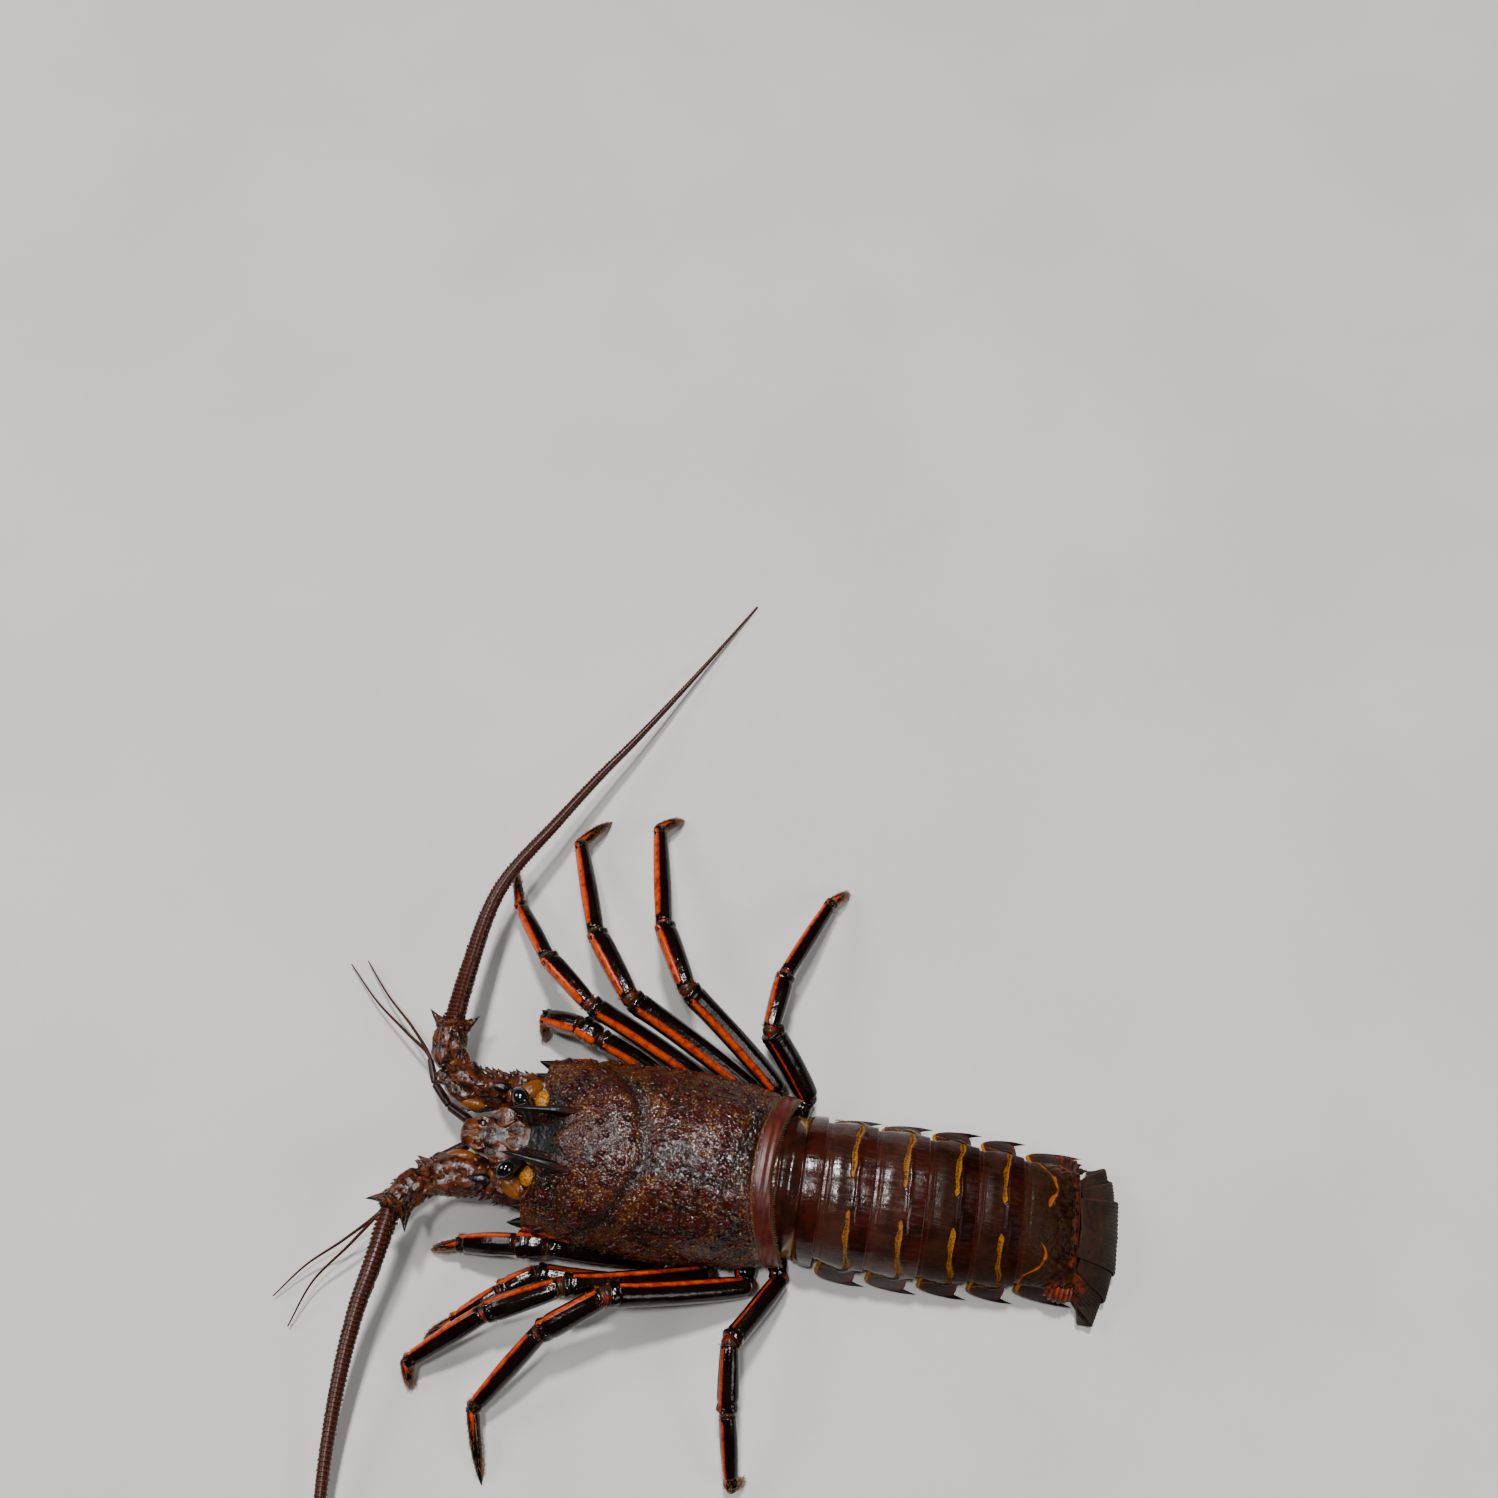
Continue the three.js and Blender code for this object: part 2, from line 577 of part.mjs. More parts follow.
// A fan blade: outline width along its length, turned outward by an angle about its root
function bladeForm({ root, long, wide, turn, depth }) {
  const thick = 1.1;
  const rows = 9;
  const columns = 6;
  const angle = degrees(turn);
  const faces = [1, -1].map((face) => Array.from({ length: rows + 1 }, (_, i) => {
    const s = i / rows;
    const half = along(wide, s);
    return Array.from({ length: columns + 1 }, (_, k) => {
      const across = (2 * k / columns - 1) * half;
      const reach = s * long - 0.09 * (across * across / 12) * s;
      const x = root[0] + reach * Math.sin(angle) + across * Math.cos(angle);
      const run = root[1] + reach * Math.cos(angle) - across * Math.sin(angle);
      const edge = k === 0 || k === columns || i === rows ? 0.25 : 0.5;
      const rib = k === columns / 2 && i < rows ? 0.35 * (1 - s) + 0.1 : 0;
      return fanPoint(run, x, depth + face * thick * edge - rib);
    });
  }));
  const points = faces.flat(2);
  const index = (face, i, k) => (face * (rows + 1) + i) * (columns + 1) + k;
  const triangles = [];
  for (let i = 0; i < rows; i += 1) {
    for (let k = 0; k < columns; k += 1) {
      triangles.push([index(0, i, k), index(0, i + 1, k), index(0, i + 1, k + 1)]);
      triangles.push([index(0, i, k), index(0, i + 1, k + 1), index(0, i, k + 1)]);
      triangles.push([index(1, i, k), index(1, i + 1, k + 1), index(1, i + 1, k)]);
      triangles.push([index(1, i, k), index(1, i, k + 1), index(1, i + 1, k + 1)]);
    }
  }
  const border = [];
  for (let k = 0; k < columns; k += 1) border.push([0, k]);
  for (let i = 0; i < rows; i += 1) border.push([i, columns]);
  for (let k = columns; k > 0; k -= 1) border.push([rows, k]);
  for (let i = rows; i > 0; i -= 1) border.push([i, 0]);
  border.forEach(([i, k], n) => {
    const [j, m] = border[(n + 1) % border.length];
    triangles.push([index(0, i, k), index(0, j, m), index(1, i, k)]);
    triangles.push([index(0, j, m), index(1, j, m), index(1, i, k)]);
  });
  return surface(points, triangles);
}

// Blades of the fan: where the root starts on the fan surface, the length, the half widths along it, the turn
// outward in degrees and the depth of the layer
const TELSON_WIDE = [[0, 12], [0.5, 15], [0.85, 16.5], [1, 12.5]];
const TELSON = { root: [0, 0], long: 52, wide: TELSON_WIDE, turn: 0, depth: 0 };
const INNER_WIDE = [[0, 4.5], [0.3, 8.5], [0.7, 11.2], [1, 8]];
const OUTER_WIDE = [[0, 4.5], [0.3, 9.3], [0.7, 12], [1, 9]];
const BLADES = {
  left: {
    inner: { root: [13, 3], long: 45, wide: INNER_WIDE, turn: 6, depth: 1.8 },
    outer: { root: [18, 1], long: 44, wide: OUTER_WIDE, turn: 14, depth: 3.6 },
  },
  right: {
    inner: { root: [12, 3], long: 45, wide: INNER_WIDE, turn: 2, depth: 1.8 },
    outer: { root: [14.5, 1], long: 44, wide: OUTER_WIDE, turn: 5, depth: 3.6 },
  },
};

// The stout joint that both blades of one side turn on
function fanJointForm(side) {
  return limb([
    [V(side * 19, 178, 13.5), 4.4, 3.6],
    [V(side * 21.5, 184, 12.6), 5, 4],
    [V(side * 22.5, 189, 10.8), 3.6, 2.8],
  ]);
}

// Legs: sockets along Y, then each leg's start, knee, wrist, foot and tip as [x outward, y, z]
const LEG_ROWS = [2, 16, 30, 43, 55];
const LEGS = {
  right: [
    [[39, -2, 9], [49.5, -32, 24], [54, -41, 23], [58, -60, 12], [50, -60, 0.6]],
    [[40, 18, 9], [62, -38, 34], [82, -62, 28], [110, -83, 12], [131.5, -91, 0.6]],
    [[39.5, 39, 8.5], [66, -20, 38], [96, -42, 30], [145, -60.5, 10], [161, -49.5, 0.6]],
    [[41.5, 50.5, 8.5], [74, 4, 38], [104, -12, 30], [158, -24, 10], [167, -14.5, 0.6]],
    [[39, 64, 12.5], [62, 43, 34], [89.5, 46, 28], [133, 63, 10], [141.5, 70.5, 0.6]],
  ],
  left: [
    [[38, 8, 13], [40.5, -37.5, 24], [41.5, -50, 23], [44, -77, 11], [47.5, -90.5, 0.6]],
    [[47.5, 19, 5.4], [51, -42, 9.5], [60.5, -56, 9], [75, -74, 5.5], [83, -85, 0.6]],
    [[41, 31, 12], [55.5, -28, 27], [70, -58, 23], [93.5, -88.5, 9], [103, -86, 0.6]],
    [[43, 49, 12], [57, -8, 38], [74.5, -33, 29], [107, -57, 11], [134, -49, 0.6]],
    [[38, 62, 12], [67, 44.5, 30], [93, 47.5, 23], [120, 53, 9], [117, 57, 0.6]],
  ],
};
const LEG_RADII = {
  socket: 5.6, thigh: [4.9, 5.7], wrist: [4.9, 5.2], shank: [4.2, 4.7], claw: [2.5, 2.8], arch: 1.6, tip: 1,
};
const LEG_SIZE = [0.92, 0.9, 1, 1, 0.88];
const KNEE_SPINES = { angles: [60, 125], tall: 2.6, radius: 1.2 };

function legJoints(sideName, row) {
  const side = SIDES[sideName];
  const [start, knee, wrist, foot, tip] = LEGS[sideName][row].map(([x, y, z]) => V(side * x, y, z));
  return { socket: V(side * 18, LEG_ROWS[row], 7), start, knee, wrist, foot, tip, size: LEG_SIZE[row] };
}

// The inner half of a leg: socket, short ring and the long thigh up to the knee
function upperLegForm({ socket, start, knee, size }) {
  const [wide, high] = LEG_RADII.thigh;
  const root = LEG_RADII.socket;
  const hip = stretch(socket, start, [root * size, root * size], [[0, 1], [0.5, 0.97], [0.72, 0.8]]);
  const thigh = [[0.03, 0.84], [0.35, 1], [0.8, 1.02], [0.95, 1.06], [1, 0.8]];
  return limb([...hip, ...stretch(start, knee, [wide * size, high * size], thigh)]);
}

// The outer half of a leg: wrist length, shank and pointed claw
function lowerLegForm({ knee, wrist, foot, tip, size }) {
  const sized = (radii) => radii.map((radius) => radius * size);
  const arch = foot.clone().lerp(tip, 0.5).add(V(0, 0, LEG_RADII.arch));
  const point = tip.clone().add(tip.clone().sub(arch).normalize());
  return limb([
    ...stretch(knee, wrist, sized(LEG_RADII.wrist), [[-0.02, 0.7], [0.16, 0.92], [0.7, 1.04], [0.95, 0.85]]),
    ...stretch(wrist, foot, sized(LEG_RADII.shank), [[0.08, 0.92], [0.45, 1], [0.88, 0.84], [1, 0.66]]),
    [arch, ...sized(LEG_RADII.claw)],
    [tip, LEG_RADII.tip],
    [point, 0],
  ]);
}

// Thorax
const shell = shellForm();
const sternum = sternumForm();
const horns = [1, -1].map(hornForm);
const shellClear = joined([grown(shell)]);
const sternumClear = solid(sternumForm(CUT));
const hornsClear = joined(horns.map((horn) => grown(horn)));
const spines = shellSpines();
const spinesClear = joined(spines.map((form) => grown(form)));
const orbits = [1, -1].map(orbitForm);
const armed = joined([shell, ...horns, ...spines]);
part('carapace', cut(armed, [...orbits.map(solid), sternumClear]), INK.shell, 0.4);
part('sternum', solid(sternum), INK.limb, 0.5);

// Head
const head = headForm();
const headClear = solid(grown(head));
const shellOpenClear = cut(shellClear, orbits.map((hollow) => solid(grown(hollow, -CUT))));
const plateSpines = [1, -1].map((side) => spine(V(side * 5, -66, 35), V(side * 0.3, -1, 0.8), 4.5, 1.7));
part('head', cut(joined([head, ...plateSpines]), [shellClear, sternumClear]), INK.feeler);

for (const [sideName, side] of Object.entries(SIDES)) {
  const eye = eyeForm(side);
  part(`eye_${sideName}`, cut(joined(eye), [shellOpenClear, hornsClear, headClear]), INK.eye, 0.1);

  // Feeler: three thick lengths and the whip in two
  const { joints, whip } = FEELER[sideName];
  const { base, middle, end } = feelerForms(joints);
  const eyeClear = joined(eye.map((form) => grown(form)));
  const [baseClear, middleClear, endClear] = [base, middle, end].map((form) => solid(grown(form)));
  const inner = whipForm(whip, 0, FEELER_WHIP.split);
  const outer = whipForm(whip, FEELER_WHIP.split, 1);
  const armedBase = joined([base, ...feelerSpines(joints[0], joints[1], 7.6, FEELER_SPINES.base, side)]);
  const armedMiddle = joined([middle, ...feelerSpines(joints[1], joints[2], 7.4, FEELER_SPINES.middle, side),
    ...feelerSpines(joints[2], joints[3], 7, FEELER_SPINES.bend, side)]);
  const armedEnd = joined([end, ...feelerSpines(joints[3], joints[4], 5.9, FEELER_SPINES.end, side)]);
  const bodyClear = [shellClear, headClear, sternumClear, eyeClear];
  part(`antenna_${sideName}_base`, cut(armedBase, bodyClear), INK.feeler);
  part(`antenna_${sideName}_middle`, cut(armedMiddle, [baseClear, headClear]), INK.feeler);
  part(`antenna_${sideName}_end`, cut(armedEnd, [middleClear]), INK.feeler);
  part(`antenna_${sideName}_whip_inner`, cut(solid(inner), [endClear]), INK.feeler);
  part(`antenna_${sideName}_whip_outer`, cut(solid(outer), [solid(grown(inner)), belowFloor]), INK.feeler);
  const feelerClear = [headClear, baseClear, middleClear, endClear];
  part(`antennule_${sideName}`, cut(joined(innerFeelerForms(INNER[sideName])), feelerClear), INK.feeler);

  const jawClear = [headClear, sternumClear, baseClear, shellClear];
  part(`maxilliped_${sideName}`, cut(joined(jawLegForm(side)), jawClear), INK.limb);
}

// Abdomen
const rings = RINGS.slice(1).map((_, index) => ringForm(index));
rings.forEach((ring, index) => {
  const neighbours = [rings[index - 1], rings[index + 1]].filter(Boolean).map((other) => solid(grown(other)));
  if (index === 0) neighbours.push(shellClear, sternumClear);
  const body = index === 0 ? cut(solid(ring), neighbours) : solid(ring);
  const flaps = index === 0 ? [] : [1, -1].map((side) => cut(solid(flapForm(index, side)), neighbours));
  const leaves = index === 0 || index === 5 ? [] : [1, -1].map((side) => solid(swimmeretForm(index, side)));
  const whole = [...flaps, ...leaves].reduce((rest, piece) => rest.add(piece), body);
  part(`abdomen_${index + 1}`, cut(whole, [belowFloor]), INK.tail, 0.2);
});

// Tail fan
const lastRingClear = solid(grown(rings[5]));
const telson = bladeForm(TELSON);
part('telson', cut(solid(telson), [lastRingClear, belowFloor]), INK.fan, 0.5);
for (const [sideName, side] of Object.entries(SIDES)) {
  const mirror = (blade) => {
    const [x, run] = blade.root;
    return { ...blade, root: [side * x, run], turn: side * blade.turn };
  };
  const inner = bladeForm(mirror(BLADES[sideName].inner));
  const outer = joined([bladeForm(mirror(BLADES[sideName].outer)), fanJointForm(side)]);
  const tools = [lastRingClear, belowFloor, solid(grown(telson))];
  part(`uropod_inner_${sideName}`, cut(solid(inner), tools), INK.fan, 0.5);
  part(`uropod_outer_${sideName}`, cut(outer, [...tools, solid(grown(inner))]), INK.fan, 0.5);
}

// Legs
const firstRingClear = solid(grown(rings[0]));
for (const sideName of Object.keys(SIDES)) {
  for (let row = 0; row < LEG_ROWS.length; row += 1) {
    const joints = legJoints(sideName, row);
    const upper = upperLegForm(joints);
    const lower = lowerLegForm(joints);
    const bodyClear = [shellClear, spinesClear, sternumClear, firstRingClear, belowFloor];
    const radius = LEG_RADII.thigh[1] * joints.size;
    const tips = KNEE_SPINES.angles.map((angle) => (
      limbSpine(joints.start, joints.knee, 0.95, angle, radius, KNEE_SPINES.tall, KNEE_SPINES.radius)));
    part(`leg_${sideName}_${row + 1}_upper`, cut(joined([upper, ...tips]), bodyClear), INK.limb, 0.2);
    const lowerClear = [solid(grown(upper)), ...bodyClear];
    part(`leg_${sideName}_${row + 1}_lower`, cut(solid(lower), lowerClear), INK.limb, 0.2);
  }
}

export default lobster;
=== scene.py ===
"""A spiny lobster as a still, life-size model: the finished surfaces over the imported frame.

Sizes are in millimetres in the row frame: -Y is the head, +X the animal's left side, +Z up, and the floor is
at 0. Every mesh is turned into metres when it is made.
"""

from __future__ import annotations

import logging
from dataclasses import dataclass, field
from enum import Enum
from typing import Callable, Iterable, Sequence

import bpy
import numpy as np
from mathutils import Matrix, Vector

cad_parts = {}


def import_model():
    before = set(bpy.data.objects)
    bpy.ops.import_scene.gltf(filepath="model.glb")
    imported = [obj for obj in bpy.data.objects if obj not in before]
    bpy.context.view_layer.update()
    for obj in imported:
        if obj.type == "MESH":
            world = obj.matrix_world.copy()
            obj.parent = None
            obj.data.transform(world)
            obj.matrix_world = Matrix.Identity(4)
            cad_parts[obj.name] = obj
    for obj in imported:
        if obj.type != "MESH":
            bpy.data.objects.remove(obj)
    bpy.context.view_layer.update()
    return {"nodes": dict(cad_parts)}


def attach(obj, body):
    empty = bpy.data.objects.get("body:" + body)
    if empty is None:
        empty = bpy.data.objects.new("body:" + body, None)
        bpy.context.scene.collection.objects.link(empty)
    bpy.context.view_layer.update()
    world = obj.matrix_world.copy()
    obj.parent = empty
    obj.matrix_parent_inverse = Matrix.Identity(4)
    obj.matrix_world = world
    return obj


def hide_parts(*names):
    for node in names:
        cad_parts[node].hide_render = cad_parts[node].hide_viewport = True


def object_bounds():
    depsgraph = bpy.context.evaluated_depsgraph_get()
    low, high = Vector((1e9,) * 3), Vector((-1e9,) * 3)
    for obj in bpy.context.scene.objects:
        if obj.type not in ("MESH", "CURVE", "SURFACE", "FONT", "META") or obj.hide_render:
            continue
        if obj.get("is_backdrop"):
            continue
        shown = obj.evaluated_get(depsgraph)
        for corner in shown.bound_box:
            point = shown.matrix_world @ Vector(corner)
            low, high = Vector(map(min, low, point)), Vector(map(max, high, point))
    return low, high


Array = np.ndarray
Stations = Sequence[Sequence[float]]
Place = tuple[float, float, float]
Colour = str
Values = dict[str, Array | float]

MM = 0.001
SEED = 20251
# Least radius of a rounded end, and least height over the floor
THIN = 0.03
CLEAR = 0.02
LOG = logging.getLogger("lobster")


class Side(Enum):
    """The animal's left and right, as the sign of X."""

    LEFT = 1
    RIGHT = -1

    @property
    def word(self) -> str:
        """The side's name as the frame's nodes spell it."""
        return self.name.lower()


def ink(code: Colour) -> tuple[float, ...]:
    """Turns a six-digit screen colour into the linear values that a shader takes.

    Args:
        code: Red, green and blue as hexadecimal digits.

    Returns:
        The three linear values.
    """
    parts = [int(code[i : i + 2], 16) / 255 for i in (0, 2, 4)]
    return tuple(p / 12.92 if p <= 0.04045 else ((p + 0.055) / 1.055) ** 2.4 for p in parts)


# Curves and vectors


def vec(*parts: float) -> Array:
    """A point or direction as an array."""
    return np.array(parts, float)


def unit(vectors: Array) -> Array:
    """Vectors of length one along the given ones."""
    return vectors / np.maximum(np.linalg.norm(vectors, axis=-1, keepdims=True), 1e-9)


def along(stations: Stations, t: Array | float) -> Array:
    """Value at t on a smooth curve through a few stations.

    Between two stations the value follows a cubic. Its slope at each station is that of the chord between the
    station's neighbours. Outside the stations it keeps the end value.

    Args:
        stations: Pairs of position and value, in order of position.
        t: Positions to read.

    Returns:
        The value at each position.
    """
    table = np.asarray(stations, float)
    place, value = table[:, 0], table[:, 1]
    last = len(place) - 1
    t = np.clip(np.asarray(t, float), place[0], place[-1])
    i = np.clip(np.searchsorted(place, t, side="right") - 1, 0, last - 1)
    low = np.maximum(np.arange(last + 1) - 1, 0)
    high = np.minimum(np.arange(last + 1) + 1, last)
    slope = (value[high] - value[low]) / (place[high] - place[low])
    span = place[i + 1] - place[i]
    f = (t - place[i]) / span
    rise = f * f * (3 - 2 * f)
    lean = f * (1 - f) * ((1 - f) * slope[i] - f * slope[i + 1]) * span
    return value[i] + (value[i + 1] - value[i]) * rise + lean


def step(low: float, high: float, t: Array) -> Array:
    """Rises smoothly from 0 at low to 1 at high, or falls where low is the greater."""
    f = np.clip((np.asarray(t, float) - low) / (high - low), 0, 1)
    return f * f * (3 - 2 * f)


def bell(t: Array, middle: float | Array, half: float) -> Array:
    """A smooth bump: 1 at the middle, falling off over about the half width."""
    return np.exp(-(((t - middle) / half) ** 2))


def distances(path: Array) -> Array:
    """Distance of each point of a path from its start, measured along it."""
    return np.concatenate([[0], np.cumsum(np.linalg.norm(np.diff(path, axis=0), axis=1))])


def through(knots: Sequence[Sequence[float]] | Array, fractions: Array) -> Array:
    """Points on a smooth curve through a few knots, at fractions of its length.

    Each stretch is a cubic through its two knots. Its end directions come from the neighbouring knots with
    centripetal spacing, the square root of their distance.

    Args:
        knots: Points that the curve runs through.
        fractions: Places along it, from 0 to 1.

    Returns:
        One point for each fraction.
    """
    p = np.asarray(knots, float)
    p = np.vstack([2 * p[0] - p[1], p, 2 * p[-1] - p[-2]])
    gap = np.sqrt(np.linalg.norm(np.diff(p, axis=0), axis=1))[:, None]
    before, own, after = gap[:-2], gap[1:-1], gap[2:]
    a, b, c, d = p[:-3], p[1:-2], p[2:-1], p[3:]
    leave = ((b - a) / before - (c - a) / (before + own) + (c - b) / own) * own
    reach = ((c - b) / own - (d - b) / (own + after) + (d - c) / after) * own
    f = np.linspace(0, 1, 60, endpoint=False)[None, :, None]
    b, c, leave, reach = b[:, None], c[:, None], leave[:, None], reach[:, None]
    dense = (
        b * (2 * f**3 - 3 * f**2 + 1)
        + leave * (f**3 - 2 * f**2 + f)
        + c * (3 * f**2 - 2 * f**3)
        + reach * (f**3 - f**2)
    ).reshape(-1, 3)
    dense = np.vstack([dense, p[-2]])
    run = distances(dense)
    place = np.asarray(fractions, float) * run[-1]
    return np.stack([np.interp(place, run, dense[:, k]) for k in range(3)], -1)


def dome(run: Array, length: float, start: float, end: float) -> Array:
    """Factor that rounds the two ends of a tube: a quarter circle over the first and last few millimetres.

    Args:
        run: Distances along the tube.
        length: The tube's length.
        start: Radius of the rounding at the start.
        end: Radius of the rounding at the end.

    Returns:
        The factor of the tube's radius, from 0 to 1.
    """
    first = np.clip(1 - run / start, 0, 1)
    last = np.clip(1 - (length - run) / end, 0, 1)
    return np.sqrt(np.maximum(1 - first**2, 0)) * np.sqrt(np.maximum(1 - last**2, 0))


# Surfaces


@dataclass
class Skin:
    """A closed surface: points in millimetres, faces as arrays of indices, and named values at the points."""

    points: Array
    faces: list[Array]
    values: dict[str, Array] = field(default_factory=dict)

    def outward(self) -> Skin:
        """Turns the faces outward, by the sign of the volume that they enclose.

        Returns:
            This skin.
        """
        volume = 0.0
        for face in self.faces:
            corners = self.points[face]
            for k in range(1, face.shape[1] - 1):
                normal = np.cross(corners[:, k], corners[:, k + 1])
                volume += float((corners[:, 0] * normal).sum())
        if volume < 0:
            self.faces = [face[:, ::-1] for face in self.faces]
        return self

    def with_values(self, **values: Array | float) -> Skin:
        """Adds named values.

        Args:
            values: For each name one number, or one for every point.

        Returns:
            This skin.
        """
        for name, value in values.items():
            self.values[name] = np.broadcast_to(np.asarray(value, float), (len(self.points),)).copy()
        return self


def join(skins: Iterable[Skin]) -> Skin:
    """One skin from several, with 0 for a value that one of them lacks.

    Args:
        skins: The surfaces to put together.

    Returns:
        The joined surface.
    """
    parts = list(skins)
    names = sorted({name for part in parts for name in part.values})
    start = np.cumsum([0] + [len(part.points) for part in parts])
    faces: list[Array] = []
    for corners in (3, 4):
        own = [f + s for part, s in zip(parts, start) for f in part.faces if f.shape[1] == corners]
        if own:
            faces.append(np.concatenate(own))
    values = {
        name: np.concatenate([part.values.get(name, np.zeros(len(part.points))) for part in parts])
        for name in names
    }
    return Skin(np.concatenate([part.points for part in parts]), faces, values)


def wrapped(rows: int, columns: int) -> list[Array]:
    """Faces of a tube whose points are its rings, then the middle of the first and of the last ring.

    Args:
        rows: Number of rings.
        columns: Points round each.

    Returns:
        The quads between the rings, and the triangles that close the two ends.
    """
    index = np.arange(rows * columns).reshape(rows, columns)
    beside = np.roll(index, -1, axis=1)
    quads = np.stack([index[:-1], beside[:-1], beside[1:], index[1:]], -1).reshape(-1, 4)
    first = np.stack([np.full(columns, rows * columns), beside[0], index[0]], -1)
    last = np.stack([np.full(columns, rows * columns + 1), index[-1], beside[-1]], -1)
    return [quads, np.concatenate([first, last])]


def tube(rings: Array, values: Values | None = None) -> Skin:
    """A closed surface over rings of points, with a fan of triangles at each end.

    Args:
        rings: Points as (ring, place round it, 3).
        values: Named values, each a number or an array that fits (ring, place round it).

    Returns:
        The surface.
    """
    rows, columns, _ = rings.shape
    points = np.concatenate([rings.reshape(-1, 3), rings[0].mean(0)[None], rings[-1].mean(0)[None]])
    full = {}
    for name, value in (values or {}).items():
        grid = np.broadcast_to(value, (rows, columns))
        full[name] = np.concatenate([grid.reshape(-1), [grid[0].mean(), grid[-1].mean()]])
    return Skin(points, wrapped(rows, columns), full).outward()


def padded(values: dict[str, Array], rows: int, columns: int) -> dict[str, Array]:
    """A grid's values carried on unchanged over more rows at both ends and more columns at the last side."""
    return {name: np.pad(value, ((rows, rows), (0, columns)), mode="edge") for name, value in values.items()}


def leaf(front: Array, back: Array, values: Values | None = None) -> Skin:
    """A closed thin surface between two grids of points that share their border's order.

    Args:
        front: Points of one face as (row, column, 3).
        back: Points of the other face.
        values: Named values that fit (row, column), the same on both faces.

    Returns:
        The surface, with a strip round its border.
    """
    rows, columns, _ = front.shape
    index = np.arange(rows * columns).reshape(rows, columns)
    quads = np.stack([index[:-1, :-1], index[:-1, 1:], index[1:, 1:], index[1:, :-1]], -1).reshape(-1, 4)
    border = np.concatenate([index[0, :-1], index[:-1, -1], index[-1, :0:-1], index[:0:-1, 0]])
    after = np.roll(border, -1)
    other = rows * columns
    strip = np.stack([border + other, after + other, after, border], -1)
    full = {}
    for name, value in (values or {}).items():
        full[name] = np.tile(np.broadcast_to(value, (rows, columns)).reshape(-1), 2)
    points = np.concatenate([front.reshape(-1, 3), back.reshape(-1, 3)])
    return Skin(points, [np.concatenate([quads, quads[:, ::-1] + other, strip])], full).outward()


@dataclass
class Sweep:
    """Rings of oval sections along a path, and where each point lies on them."""

    rings: Array
    run: Array
    top: Array
    side: Array
    outward: Array

    @property
    def length(self) -> float:
        """Length of the path."""
        return float(self.run[-1])

    def lifted(self, amount: Array) -> Array:
        """The rings with their points moved out along the section by an amount for each."""
        return self.rings + self.outward * amount[..., None]


def sweep(path: Array, wide: Array, high: Array, sides: int, power: float = 1.0) -> Sweep:
    """Carries an oval section along a path.

    A point of the section is the path's point plus the half width times the cosine of its angle to the side,
    and the half height times the sine upward. A power under 1 makes the oval boxier.

    Args:
        path: Points of the path.
        wide: Half width at each.
        high: Half height at each.
        sides: Number of points round the section.
        power: Exponent of the sine and cosine.

    Returns:
        The rings and their coordinates.
    """
    heading = unit(np.gradient(path, axis=0))
    side = unit(np.cross(heading, vec(0, 0, 1)))
    rise = np.cross(side, heading)
    angle = 2 * np.pi * (np.arange(sides) + 0.5) / sides
    cos, sin = np.cos(angle), np.sin(angle)
    across = np.sign(cos) * np.abs(cos) ** power
    upward = np.sign(sin) * np.abs(sin) ** power
    out = side[:, None] * across[None, :, None] * wide[:, None, None]
    out = out + rise[:, None] * upward[None, :, None] * high[:, None, None]
    shape = (len(path), sides)
    return Sweep(
        path[:, None] + out,
        distances(path),
        np.broadcast_to(sin, shape),
        np.broadcast_to(cos, shape),
        unit(side[:, None] * cos[None, :, None] + rise[:, None] * sin[None, :, None]),
    )


def straight(start: Array, end: Array, rows: int, bow: Array | None = None) -> Array:
    """Points from start to end, bowed sideways by up to the given vector at the middle.

    Args:
        start: First point.
        end: Last point.
        rows: Number of points.
        bow: How far the middle stands off the straight line.

    Returns:
        The points.
    """
    f = np.linspace(0, 1, rows)[:, None]
    path = start + (end - start) * f
    return path if bow is None else path + bow * (4 * f * (1 - f))


